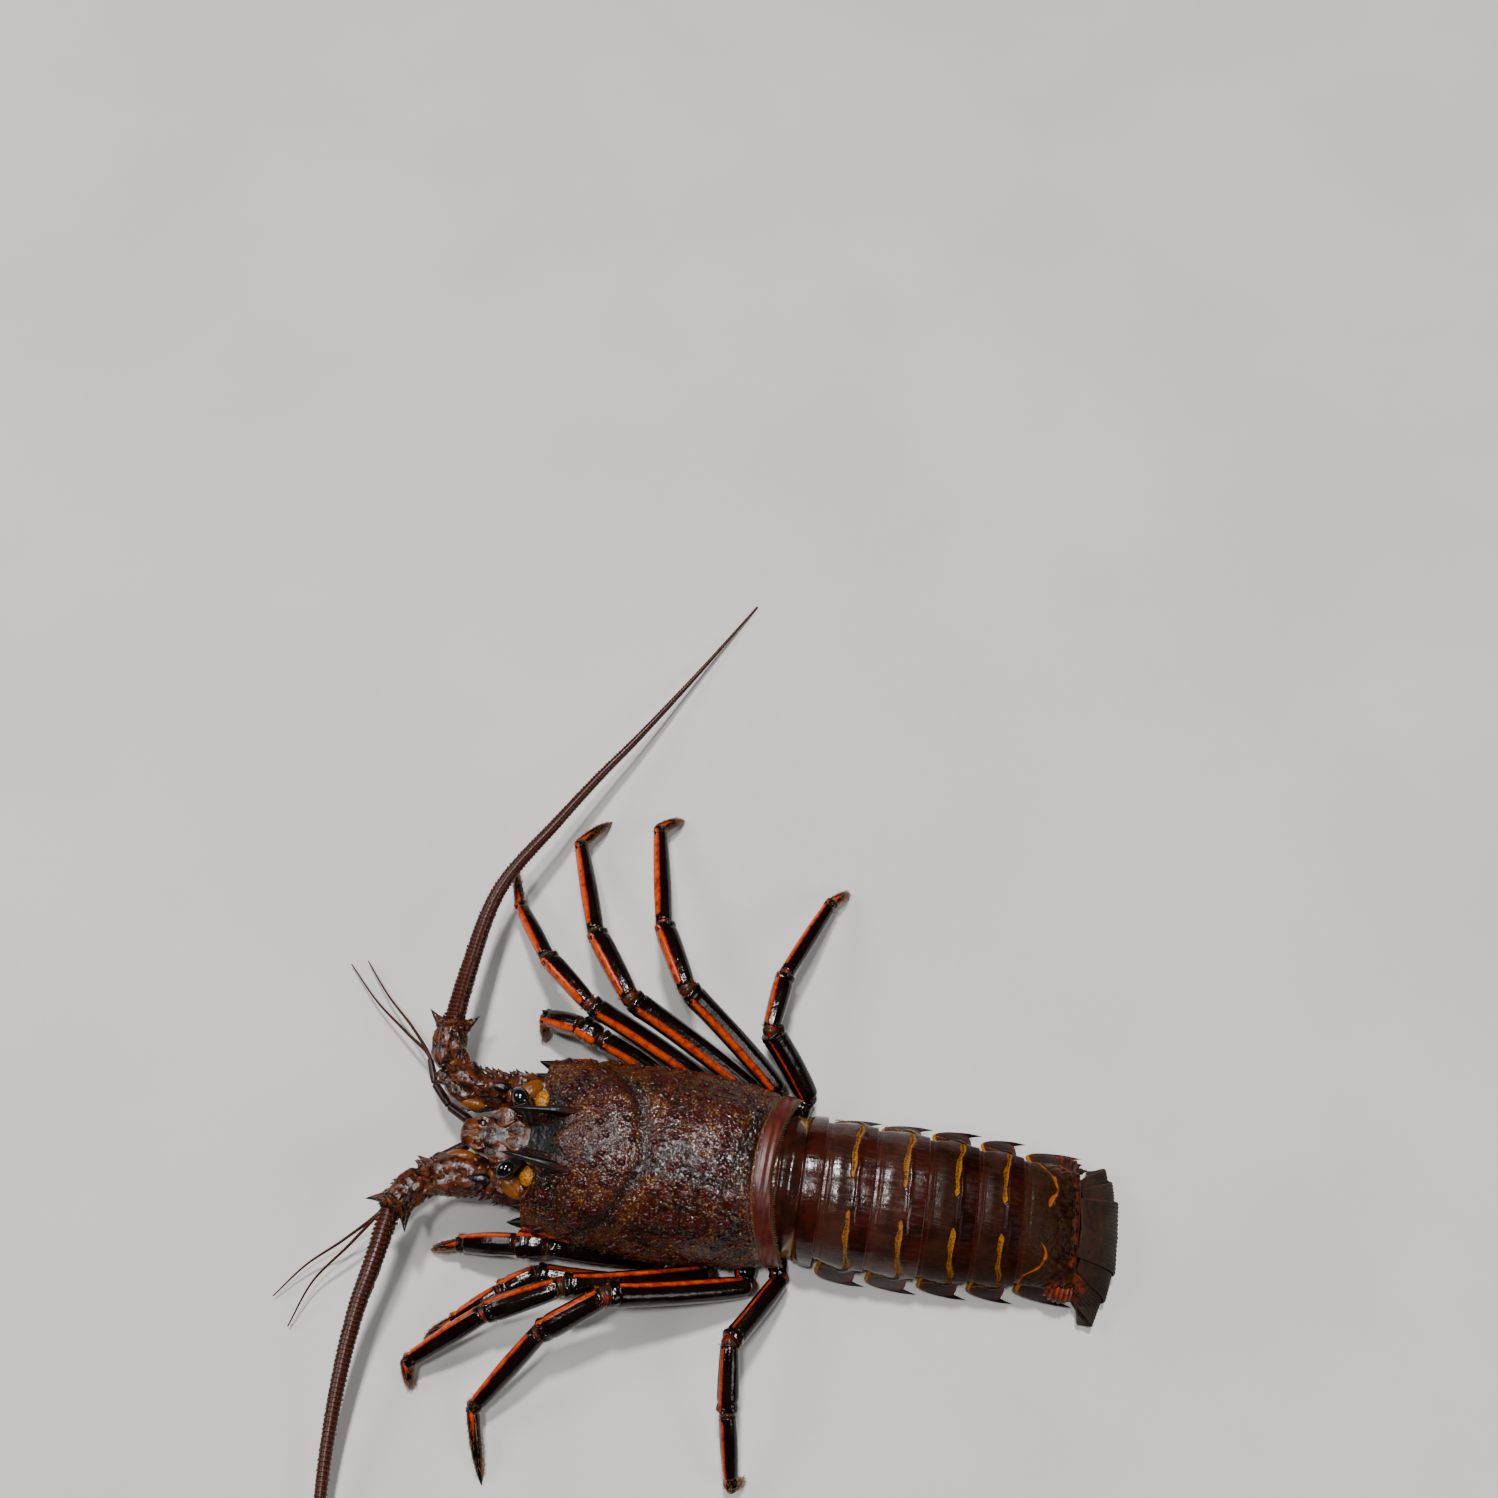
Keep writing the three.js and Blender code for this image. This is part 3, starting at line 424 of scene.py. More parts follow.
def spikes(
    roots: Array,
    headings: Array,
    tall: Array | float,
    radius: Array | float,
    sides: int = 8,
    rings: int = 7,
    hook: Array | None = None,
    sink: float = 1.0,
) -> Skin:
    """Many tapered spines as one surface.

    Each spine's axis leaves its root along its heading and bends by the hook times the square of the way up.
    Its radius shrinks to a point, with a flared foot that is sunk below the root.

    Args:
        roots: Root points as (spine, 3).
        headings: Directions as (spine, 3).
        tall: Heights.
        radius: Radii at the root.
        sides: Points round a spine.
        rings: Rings up a spine.
        hook: How far the tip bends away, as a share of the height.
        sink: Depth of the foot below the root.

    Returns:
        The surface, with the value tip from 0 at the root to 1.
    """
    count = len(roots)
    tall = np.broadcast_to(np.asarray(tall, float), (count,))[:, None, None]
    radius = np.broadcast_to(np.asarray(radius, float), (count,))[:, None, None]
    heading = unit(np.asarray(headings, float))
    helper = np.where(np.abs(heading[:, 2:]) > 0.9, vec(1, 0, 0), vec(0, 0, 1))
    side = unit(np.cross(heading, helper))[:, None, None]
    rise = np.cross(side[:, 0, 0], heading)[:, None, None]
    up = np.concatenate([[0.0], np.linspace(0, 1, rings) ** 0.85])[None, :, None]
    below = np.concatenate([[sink], np.zeros(rings)])[None, :, None]
    angle = 2 * np.pi * np.arange(sides)[None, None, :] / sides
    thick = radius * ((1 - up) ** 0.9 * 0.94 + 0.03) * (1 + 0.35 * np.exp(-up * 7))
    bend = np.zeros(3) if hook is None else hook
    axis = roots[:, None, None] + heading[:, None, None] * (up * tall - below)[..., None]
    axis = axis + (up**2 * tall)[..., None] * bend
    ring = axis + side * (thick * np.cos(angle))[..., None] + rise * (thick * np.sin(angle))[..., None]
    rows = rings + 1
    tips = axis[:, -1, 0] + heading * 0.02
    feet = axis[:, 0, 0]
    own = rows * sides + 2
    points = np.concatenate([ring.reshape(count, -1, 3), feet[:, None], tips[:, None]], 1).reshape(-1, 3)
    start = (np.arange(count) * own)[:, None, None]
    faces = [(start + face).reshape(-1, face.shape[1]) for face in wrapped(rows, sides)]
    level = np.concatenate([np.repeat(up[0, :, 0], sides), [0.0, 1.0]])
    return Skin(points, faces, {"tip": np.tile(level, count)}).outward()


def bristles(roots: Array, headings: Array, tall: Array | float, radius: float, droop: float = 0.3) -> Skin:
    """Many fine bristles as one surface: three-sided spikes that droop toward the floor.

    Args:
        roots: Root points as (bristle, 3).
        headings: Directions as (bristle, 3).
        tall: Lengths.
        radius: Radius at the root.
        droop: How far the tip sinks, as a share of the length.

    Returns:
        The surface, with the values tip and bristle.
    """
    hook = vec(0, 0, -droop)
    skin = spikes(roots, headings, tall, radius, sides=3, rings=4, hook=hook, sink=0.3)
    return skin.with_values(bristle=1.0)


def egg(start: Array, end: Array, wide: float, high: float, sides: int = 32, blunt: float = 0.55) -> Sweep:
    """A rounded body between two points.

    The radius follows the sine of the way along, raised to a power that makes the ends blunt.

    Args:
        start: One end.
        end: The other end.
        wide: Half width.
        high: Half height.
        sides: Points round it.
        blunt: The power, smaller for blunter ends.

    Returns:
        The rings.
    """
    f = np.linspace(0, 1, sides)
    radius = np.sin(np.pi * np.clip(f, 0.004, 0.996)) ** blunt
    return sweep(straight(start, end, sides), wide * radius, high * radius, sides)


def ray(heading: Array, turn: Array) -> Array:
    """Directions out from a heading, at angles about it from its side toward its top.

    Args:
        heading: One direction, or one for each angle.
        turn: The angles, in radians.

    Returns:
        One direction for each angle.
    """
    side = unit(np.cross(heading, vec(0, 0, 1)))
    rise = np.cross(side, heading)
    return side * np.cos(turn)[:, None] + rise * np.sin(turn)[:, None]


def limb_spots(start: Array, end: Array, f: Array, angle: Array, radius: float) -> tuple[Array, Array]:
    """Places on the side of a limb, for spines.

    Args:
        start: Joint at the limb's root.
        end: Joint at its end.
        f: Fractions of the way between them.
        angle: Angles about the limb in degrees, 90 on top.
        radius: Distance from its axis.

    Returns:
        The points, and the outward directions at them.
    """
    out = ray(unit(end - start), np.radians(np.asarray(angle, float)))
    return start + (end - start) * np.asarray(f, float)[:, None] + out * radius, out


# Shaders


def operator(operation: str, swapped: bool = False) -> Callable[[Value, Value | float], Value]:
    """Makes one of the operators of Value.

    Args:
        operation: The operation of Blender's Math node.
        swapped: Whether the other value comes first.

    Returns:
        The operator.
    """

    def apply(this: Value, other: Value | float) -> Value:
        """Carries the operation out on two values."""
        return this.shader.math(operation, *((other, this) if swapped else (this, other)))

    return apply


@dataclass(frozen=True)
class Value:
    """A socket of a shader, with Python's operators for its maths."""

    shader: Shader
    socket: bpy.types.NodeSocket

    __add__ = __radd__ = operator("ADD")
    __sub__ = operator("SUBTRACT")
    __rsub__ = operator("SUBTRACT", swapped=True)
    __mul__ = __rmul__ = operator("MULTIPLY")

    def step(self, low: float, high: float) -> Value:
        """Rises smoothly from 0 at low to 1 at high, or falls where low is the greater.

        Args:
            low: Where the result is 0.
            high: Where it is 1.

        Returns:
            The result.
        """
        settings = {"interpolation_type": "SMOOTHSTEP"}
        inputs = {"Value": self, "From Min": low, "From Max": high, "To Min": 0.0, "To Max": 1.0}
        return self.shader.node("ShaderNodeMapRange", settings, inputs)


class Shader:
    """A material's node tree, built from expressions."""

    def __init__(self, name: str) -> None:
        """Starts a material with a bare surface shader.

        Args:
            name: The material's name.
        """
        self.material = bpy.data.materials.new(name)
        self.material.use_nodes = True
        self.tree = self.material.node_tree
        self.surface = self.tree.nodes["Principled BSDF"]
        self.place = self.node("ShaderNodeTexCoord", {}, {}, "Object")

    def node(self, kind: str, settings: dict, inputs: dict, output: str | int = 0) -> Value:
        """Adds a node.

        Args:
            kind: The node's type.
            settings: Its own settings, which are set first.
            inputs: Values or links of its sockets, by name or number.
            output: The output to return.

        Returns:
            That output.
        """
        made = self.tree.nodes.new(kind)
        for name, value in settings.items():
            setattr(made, name, value)
        for name, value in inputs.items():
            self.connect(made.inputs[name], value)
        return Value(self, made.outputs[output])

    def connect(self, socket: bpy.types.NodeSocket, value: Value | Colour | float | Place) -> None:
        """Links a value to an input socket, or sets the socket's own number or colour.

        Args:
            socket: The input socket.
            value: What it takes.
        """
        if isinstance(value, Value):
            self.tree.links.new(value.socket, socket)
        elif isinstance(value, Colour):
            socket.default_value = (*ink(value), 1.0)
        else:
            socket.default_value = value

    def math(self, operation: str, *values: Value | float) -> Value:
        """One step of arithmetic on numbers."""
        return self.node("ShaderNodeMath", {"operation": operation}, dict(enumerate(values)))

    def read(self, name: str) -> Value:
        """A named value of the mesh."""
        return self.node("ShaderNodeAttribute", {"attribute_name": name}, {}, "Fac")

    def stretched(self, scale: Place) -> Value:
        """Object coordinates multiplied by a factor for each axis."""
        return self.node("ShaderNodeMapping", {}, {"Vector": self.place, "Scale": scale})

    def noise(self, size: float, detail: float = 4.0, place: Value | None = None) -> Value:
        """Cloudy noise from 0 to 1.

        Args:
            size: Width of its blotches in millimetres.
            detail: Number of finer layers.
            place: Coordinates to read, the object's own where not given.

        Returns:
            The noise.
        """
        inputs = {"Vector": place or self.place, "Scale": 1 / (size * MM), "Detail": detail}
        return self.node("ShaderNodeTexNoise", {}, inputs)

    def cells(self, size: float, output: str = "Distance") -> Value:
        """Distance to the nearest of many scattered points, or each point's own random tone.

        Args:
            size: Distance between the points in millimetres.
            output: Distance or Color.

        Returns:
            The value.
        """
        inputs = {"Vector": self.place, "Scale": 1 / (size * MM)}
        return self.node("ShaderNodeTexVoronoi", {}, inputs, output)

    def mix(self, amount: Value | float, first: Value | Colour, second: Value | Colour) -> Value:
        """A colour between two, by an amount from 0 to 1."""
        settings = {"data_type": "RGBA", "clamp_factor": True}
        return self.node("ShaderNodeMix", settings, {0: amount, 6: first, 7: second}, 2)

    def layers(self, base: Value, *coats: tuple[Value, Value | Colour]) -> Value:
        """Lays colours over a base, one after another.

        Args:
            base: The lowest colour.
            coats: The amount from 0 to 1 and the colour of each coat.

        Returns:
            The colour on top.
        """
        for amount, colour in coats:
            base = self.mix(amount, base, colour)
        return base

    def bump(self, height: Value, depth: float, strength: float = 1.0) -> Value:
        """A normal from a height.

        Args:
            height: The height, from 0 to 1.
            depth: What the height of 1 stands for, in millimetres.
            strength: Share of the effect.

        Returns:
            The normal.
        """
        inputs = {"Strength": strength, "Distance": depth * MM, "Height": height}
        return self.node("ShaderNodeBump", {}, inputs)

    def done(self, **sockets: Value | float) -> bpy.types.Material:
        """Sets the surface shader's sockets.

        Args:
            sockets: What each takes, by its name with _ for a space.

        Returns:
            The material.
        """
        for name, value in sockets.items():
            self.connect(self.surface.inputs[name.replace("_", " ")], value)
        return self.material


# Finishes


@dataclass(frozen=True)
class CarapaceFinish:
    """Wet granular shell, mottled maroon and tan, with dark red knobs, a dark groove and a black plate.

    The greyer tone on the crown is painted sheen.
    """

    maroon: Colour = "360a01"
    dark: Colour = "100301"
    tan: Colour = "5a300a"
    gold: Colour = "8a5c20"
    knob: Colour = "3a0602"
    groove: Colour = "150a04"
    plate: Colour = "050704"
    rim: Colour = "3e0a02"
    rim_light: Colour = "541a08"
    seam: Colour = "6a401c"
    ridge: Colour = "86260a"
    orbit: Colour = "5a2a12"
    # Painted sheen: a greyer tone laid over the crown for its wet shine.
    crown: Colour = "381c13"

    def material(self) -> bpy.types.Material:
        """Builds the material.

        Returns:
            The material.
        """
        s = Shader("carapace_shell_finish")
        blotch = s.noise(24, 5)
        patch = s.noise(7, 6)
        grain = s.noise(0.9, 3)
        film = s.noise(3.6, 3)
        dot = s.cells(1.55).step(0.5, 0.18)
        fine = s.cells(0.8).step(0.55, 0.2)
        chance = s.cells(1.55, "Color")
        bare = s.read("bare")
        crown = s.read("crown")
        plate = s.read("plate")
        rough_skin = 1 - bare
        sandy = (patch * 0.6 + blotch * 0.4 + s.read("sand")).step(0.47, 0.63) * rough_skin
        colour = s.layers(
            s.mix(blotch.step(0.38, 0.62), self.dark, self.maroon),
            # Painted sheen: the greyer tone on the crown.
            (crown * patch.step(0.35, 0.6) * 0.8, self.crown),
            (sandy * (grain.step(0.35, 0.65) * 0.4 + fine * 0.75), self.tan),
            (dot * chance.step(0.45, 0.75) * rough_skin * (0.3 + sandy * 0.6), self.gold),
            (s.read("knob").step(0.1, 0.5) * 0.8, self.knob),
            (s.read("groove") * 0.75, self.groove),
            (plate, self.plate),
            (s.read("ridge"), self.ridge),
            (s.read("rim"), s.mix(patch.step(0.4, 0.65), self.rim, self.rim_light)),
            (s.read("seam"), self.seam),
            (s.read("orbit"), self.orbit),
        )
        height = dot * 0.55 + fine * 0.22 + grain * 0.15 + film * 3.2
        strong = s.math("MAXIMUM", rough_skin, 0.1 + plate * 0.8)
        return s.done(
            Base_Color=colour,
            Roughness=0.1 + grain * 0.1 + crown * 0.04 + bare * 0.24,
            Normal=s.bump(height * strong, 0.36, 0.85),
            Specular_IOR_Level=0.5,
        )


@dataclass(frozen=True)
class SpineFinish:
    """Horn and spines: red-brown at the root, glossy black at the tip."""

    root: Colour = "2c0a04"
    tip: Colour = "0a0703"
    turn: float = 0.45

    def material(self) -> bpy.types.Material:
        """Builds the material.

        Returns:
            The material.
        """
        s = Shader("horn_finish")
        grain = s.noise(1.3, 4)
        edge = (s.read("tip") + grain * 0.3 - 0.15).step(self.turn - 0.25, self.turn + 0.2)
        colour = s.mix(edge, self.root, self.tip)
        return s.done(
            Base_Color=colour,
            Roughness=0.22 + grain * 0.2,
            Normal=s.bump(grain, 0.25, 0.7),
            Specular_IOR_Level=0.32,
        )


@dataclass(frozen=True)
class TailFinish:
    """Wet plates, red-brown before the ochre groove and darker behind it, with red-edged side flaps.

    The flaps' darker colour is painted shade. The purple-grey before the groove is partly the plate's own
    tone and partly painted satin sheen, and the purple-grey streaks on the satin rings are painted sheen.
    """

    name: str = "tail_shell_finish"
    shine: float = 0.3
    dark: Colour = "1c0803"
    maroon: Colour = "340f07"
    # Purple-grey before the groove: partly the plate's own tone and partly painted satin sheen; also the
    # colour of the painted sheen streaks.
    fore: Colour = "3e241b"
    groove: Colour = "9e6418"
    pit: Colour = "4e2a0e"
    edge: Colour = "481008"
    # Painted shade: the side flaps hang low and are darkened for the shadow they lie in.
    flap: Colour = "240703"
    membrane: Colour = "86591f"
    rust: Colour = "8a3408"
    olive: Colour = "2a1a0a"
    belly: Colour = "7a4a30"
    black: Colour = "090606"

    def material(self) -> bpy.types.Material:
        """Builds the material.

        Returns:
            The material.
        """
        s = Shader(self.name)
        cloud = s.noise(11, 5)
        marks = s.noise(3.2, 5)
        brushed = s.noise(1.3, 4, s.stretched((1.0, 0.14, 1.0)))
        grain = s.noise(0.7, 3)
        groove = s.read("groove")
        rust = s.read("rust")
        worn = s.read("worn")
        rough = s.read("rough")
        flap = s.read("flap")
        tuft = s.mix(grain.step(0.42, 0.6) * groove.step(0.75, 1.0) * 0.6, self.groove, self.pit)
        colour = s.layers(
            s.mix(cloud.step(0.36, 0.6), self.dark, self.maroon),
            # The purple-grey before the groove is partly the plate's own tone and partly painted satin sheen.
            (s.read("fore") * (0.35 + cloud.step(0.35, 0.62) * 0.6), self.fore),
            # Purple-grey streaks on the satin rings are painted sheen.
            (worn * brushed.step(0.5, 0.72) * 0.35, self.fore),
            (rough * marks.step(0.42, 0.58) * 0.8, self.olive),
            # Painted shade on the side flaps and on the ring's lowest sides.
            (flap * 0.8, self.flap),
            (rust * marks.step(0.46, 0.6), self.rust),
            (s.read("edge") * 0.8, self.edge),
            (groove.step(0.25, 0.6), s.mix(rough * 0.6, tuft, self.rust)),
            (s.read("membrane") * grain.step(0.15, 0.5), self.membrane),
            (s.read("belly"), self.belly),
            (s.read("tip").step(0.3, 0.7), self.black),
        )
        satin = brushed.step(0.35, 0.75) * (0.08 + worn * 0.34) + worn * 0.1
        height = brushed * (0.25 + worn * 0.6) + grain * (groove + rust * 0.8 + 0.08) + cloud * 1.6
        return s.done(
            Base_Color=colour,
            Roughness=0.12 + satin + groove * 0.35 + flap * 0.3,
            Normal=s.bump(height + marks * (0.5 + rough * 2), 0.3, 0.8),
            Specular_IOR_Level=self.shine,
        )


@dataclass(frozen=True)
class FanFinish:
    """Leathery grey-brown blades, ribbed and nearly matte, with a hard red-orange root."""

    leather: Colour = "1a0f07"
    olive: Colour = "251a0d"
    root: Colour = "8c2c0a"
    rust: Colour = "5e3210"
    edge: Colour = "382412"

    def material(self) -> bpy.types.Material:
        """Builds the material.

        Returns:
            The material.
        """
        s = Shader("tail_fan_finish")
        cloud = s.noise(9, 5)
        marks = s.noise(2.4, 5)
        grain = s.noise(0.8, 4)
        hard = s.read("hard")
        colour = s.layers(
            s.mix(cloud.step(0.4, 0.65), self.leather, self.olive),
            (marks.step(0.56, 0.66) * cloud.step(0.5, 0.6) * 0.25, self.rust),
            (hard * marks.step(0.4, 0.56), self.root),
            (s.read("edge") * 0.6, self.edge),
        )
        return s.done(
            Base_Color=colour,
            Roughness=0.45 + grain * 0.25 - hard * 0.22,
            Normal=s.bump(grain + cloud, 0.3, 0.8),
            Specular_IOR_Level=0.2,
        )


@dataclass(frozen=True)
class LegFinish:
    """Glossy near-black limbs with an orange ribbon edged in red, brown joint skin and tan bristles."""

    black: Colour = "0b0201"
    brown: Colour = "110a04"
    stripe: Colour = "cc4a04"
    ember: Colour = "8e1a04"
    membrane: Colour = "3e2816"
    bristle: Colour = "a8601c"
    tip: Colour = "080505"

    def material(self) -> bpy.types.Material:
        """Builds the material.

        The ribbon's depth is its half width less the distance from its middle line, in millimetres; it is red
        where that is small and orange where it is greater.

        Returns:
            The material.
        """
        s = Shader("leg_shell_finish")
        cloud = s.noise(9, 5)
        grain = s.noise(0.9, 4)
        streak = s.noise(3, 4)
        membrane = s.read("membrane")
        bristle = s.read("bristle")
        depth = s.read("band") - s.math("ABSOLUTE", s.read("across"))
        depth = depth + (grain - 0.5) * 0.9 + (streak - 0.5) * 0.8
        inside = depth.step(-0.15, 0.3) * s.read("facing").step(0.0, 0.25)
        mottle = streak.step(0.3, 0.55) * (0.55 + grain.step(0.3, 0.55) * 0.45)
        ribbon = s.mix(depth.step(0.15, 1.3) * mottle, self.ember, self.stripe)
        flecks = s.mix(streak.step(0.5, 0.62), self.membrane, self.ember)
        colour = s.layers(
            s.mix(cloud.step(0.4, 0.68), self.black, self.brown),
            (inside, ribbon),
            (membrane * grain.step(0.2, 0.6) * 0.85, flecks),
            (bristle, self.bristle),
            (s.read("tip").step(0.45, 0.8) * (1 - bristle), self.tip),
        )
        return s.done(
            Base_Color=colour,
            Roughness=0.08 + grain * 0.1 + membrane * 0.18,
            Normal=s.bump(grain * 0.5 + streak + cloud, 0.4, 0.4),
            Specular_IOR_Level=0.3,
        )


@dataclass(frozen=True)
class FeelerFinish:
    """Reddish-brown, faintly translucent lengths with orange lobes and black spine tips."""

    brown: Colour = "58260f"
    dark: Colour = "1c0803"
    orange: Colour = "74400f"
    yellow: Colour = "cc8206"
    shadow: Colour = "6a3c06"
    tip: Colour = "0a0606"

    def material(self) -> bpy.types.Material:
        """Builds the material.

        Returns:
            The material.
        """
        s = Shader("feeler_shell_finish")
        cloud = s.noise(5.5, 5)
        grain = s.noise(0.9, 4)
        patch = s.noise(8, 3)
        soft = s.read("soft")
        membrane = s.read("membrane")
        colour = s.layers(
            s.mix(cloud.step(0.36, 0.64), self.dark, self.brown),
            (patch.step(0.54, 0.7) * 0.35 * grain.step(0.3, 0.6) + s.read("lobe"), self.orange),
            (membrane, s.mix(grain.step(0.35, 0.65), self.shadow, self.yellow)),
            (s.read("tip").step(0.4, 0.75), self.tip),
        )
        return s.done(
            Base_Color=colour,
            Roughness=0.1 + grain * 0.16 + membrane * 0.25,
            Normal=s.bump(cloud * 0.8 * (1 - soft) + grain * 0.5 + patch * 0.8, 0.6, 0.8),
            Subsurface_Weight=0.08,
            Subsurface_Scale=0.002,
            Specular_IOR_Level=0.4,
        )


@dataclass(frozen=True)
class WhipFinish:
    """Dark brown ringed whip, paler on its rings."""

    dark: Colour = "150602"
    brown: Colour = "5a2410"
    tip: Colour = "0c0807"

    def material(self) -> bpy.types.Material:
        """Builds the material.

        Returns:
            The material.
        """
        s = Shader("whip_finish")
        grain = s.noise(1.2, 4)
        tint = s.read("ring") * 0.75 + s.noise(30, 3) * 0.3
        colour = s.layers(s.mix(tint, self.dark, self.brown), (s.read("tip").step(0.3, 0.7), self.tip))
        return s.done(
            Base_Color=colour,
            Roughness=0.2 + grain * 0.2,
            Normal=s.bump(grain, 0.12, 0.6),
            Specular_IOR_Level=0.26,
        )


@dataclass(frozen=True)
class EyeFinish:
    """Glossy black eyeball, brown toward its stalk."""

    black: Colour = "060507"
    stalk: Colour = "1c0e08"

    def material(self) -> bpy.types.Material:
        """Builds the material.

        Returns:
            The material.
        """
        s = Shader("eye_finish")
        grain = s.noise(0.5, 3)
        colour = s.mix(s.read("stalk") * grain.step(0.2, 0.6), self.black, self.stalk)
        return s.done(
            Base_Color=colour,
            Roughness=0.06 + s.read("stalk") * 0.3,
            Normal=s.bump(s.cells(0.22), 0.02, 0.4),
            Coat_Weight=0.8,
            Coat_Roughness=0.03,
        )


@dataclass(frozen=True)
class BellyFinish:
    """Pale brown breast plate and soft underside, satin."""

    pale: Colour = "8a6044"
    brown: Colour = "5a3020"

    def material(self) -> bpy.types.Material:
        """Builds the material.

        Returns:
            The material.
        """
        s = Shader("belly_shell_finish")
        cloud = s.noise(8, 5)
        grain = s.noise(0.8, 4)
        colour = s.mix(cloud.step(0.35, 0.65), self.pale, self.brown)
        return s.done(
            Base_Color=colour,
            Roughness=0.38 + grain * 0.2,
            Normal=s.bump(cloud + grain * 0.4, 0.4, 0.6),
            Coat_Weight=0.2,
            Coat_Roughness=0.15,
        )


@dataclass(frozen=True)
class BristleFinish:
    """Fine tan bristles, paler at the tip."""

    root: Colour = "4a3018"
    tip: Colour = "8a6a40"

    def material(self) -> bpy.types.Material:
        """Builds the material.

        Returns:
            The material.
        """
        s = Shader("bristle_finish")
        colour = s.mix(s.read("tip"), self.root, self.tip)
        return s.done(Base_Color=colour, Roughness=0.5, Specular_IOR_Level=0.3)


@dataclass(frozen=True)
class FloorFinish:
    """Plain pale floor."""

    pale: Colour = "cfcdc8"
    shade: Colour = "c8c6c1"

    def material(self) -> bpy.types.Material:
        """Builds the material.

        Returns:
            The material.
        """
        s = Shader("floor_finish")
        cloud = s.noise(160, 5)
        grain = s.noise(4, 5)
        colour = s.mix(cloud.step(0.35, 0.65), self.pale, self.shade)
        return s.done(Base_Color=colour, Roughness=0.5 + grain * 0.15, Normal=s.bump(grain, 0.2, 0.3))


class Finish(Enum):
    """The finishes of the pieces, each with the record's material slot that it belongs to."""

    CARAPACE = (CarapaceFinish(), "carapace_shell")
    SPINE = (SpineFinish(), "carapace_shell")
    BRISTLE = (BristleFinish(), "carapace_shell")
    TAIL = (TailFinish(), "tail_shell")
    TAIL_DULL = (TailFinish("tail_shell_dull_finish", 0.07, "160602", "280c05", "301b12"), "tail_shell")
    FAN = (FanFinish(), "tail_fan")
    LEG = (LegFinish(), "leg_shell")
    FEELER = (FeelerFinish(), "feeler_shell")
    WHIP = (WhipFinish(), "whip")
    EYE = (EyeFinish(), "eye")
    BELLY = (BellyFinish(), "belly_shell")


@dataclass
class Workshop:
    """Makes the finished pieces: one object for each, with its finish and what it replaces."""

    materials: dict[Finish, bpy.types.Material] = field(
        default_factory=lambda: {finish: finish.value[0].material() for finish in Finish}
    )
    triangles: int = 0

    def piece(self, name: str, skin: Skin, finish: Finish, *nodes: str) -> None:
        """Puts a skin into the scene as one piece.

        Args:
            name: The piece's name.
            skin: Its surface, in millimetres.
            finish: Its finish.
            nodes: The frame's nodes that it replaces.
        """
        mesh = bpy.data.meshes.new(name)
        faces = [row for face in skin.faces for row in face.tolist()]
        mesh.from_pydata((skin.points * MM).tolist(), [], faces)
        mesh.polygons.foreach_set("use_smooth", np.ones(len(mesh.polygons), bool))
        for label, value in skin.values.items():
            attribute = mesh.attributes.new(label, "FLOAT", "POINT")
            attribute.data.foreach_set("value", value.astype(np.float32))
        mesh.materials.append(self.materials[finish])
        mesh.update()
        made = bpy.data.objects.new(name, mesh)
        bpy.context.scene.collection.objects.link(made)
        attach(made, "root")
        if nodes:
            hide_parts(*nodes)
        count = sum(len(face) * (face.shape[1] - 2) for face in skin.faces)
        self.triangles += count
        LOG.info("%s: %d triangles", name, count)


# Thorax


@dataclass
class Draws:
    """The seeded draws that the spines' places use, the same as in the solids."""

    state: int

    def next(self) -> float:
        """The next draw, from 0 to 1."""
        self.state = (self.state * 1664525 + 1013904223) % 4294967296
        return self.state / 4294967296


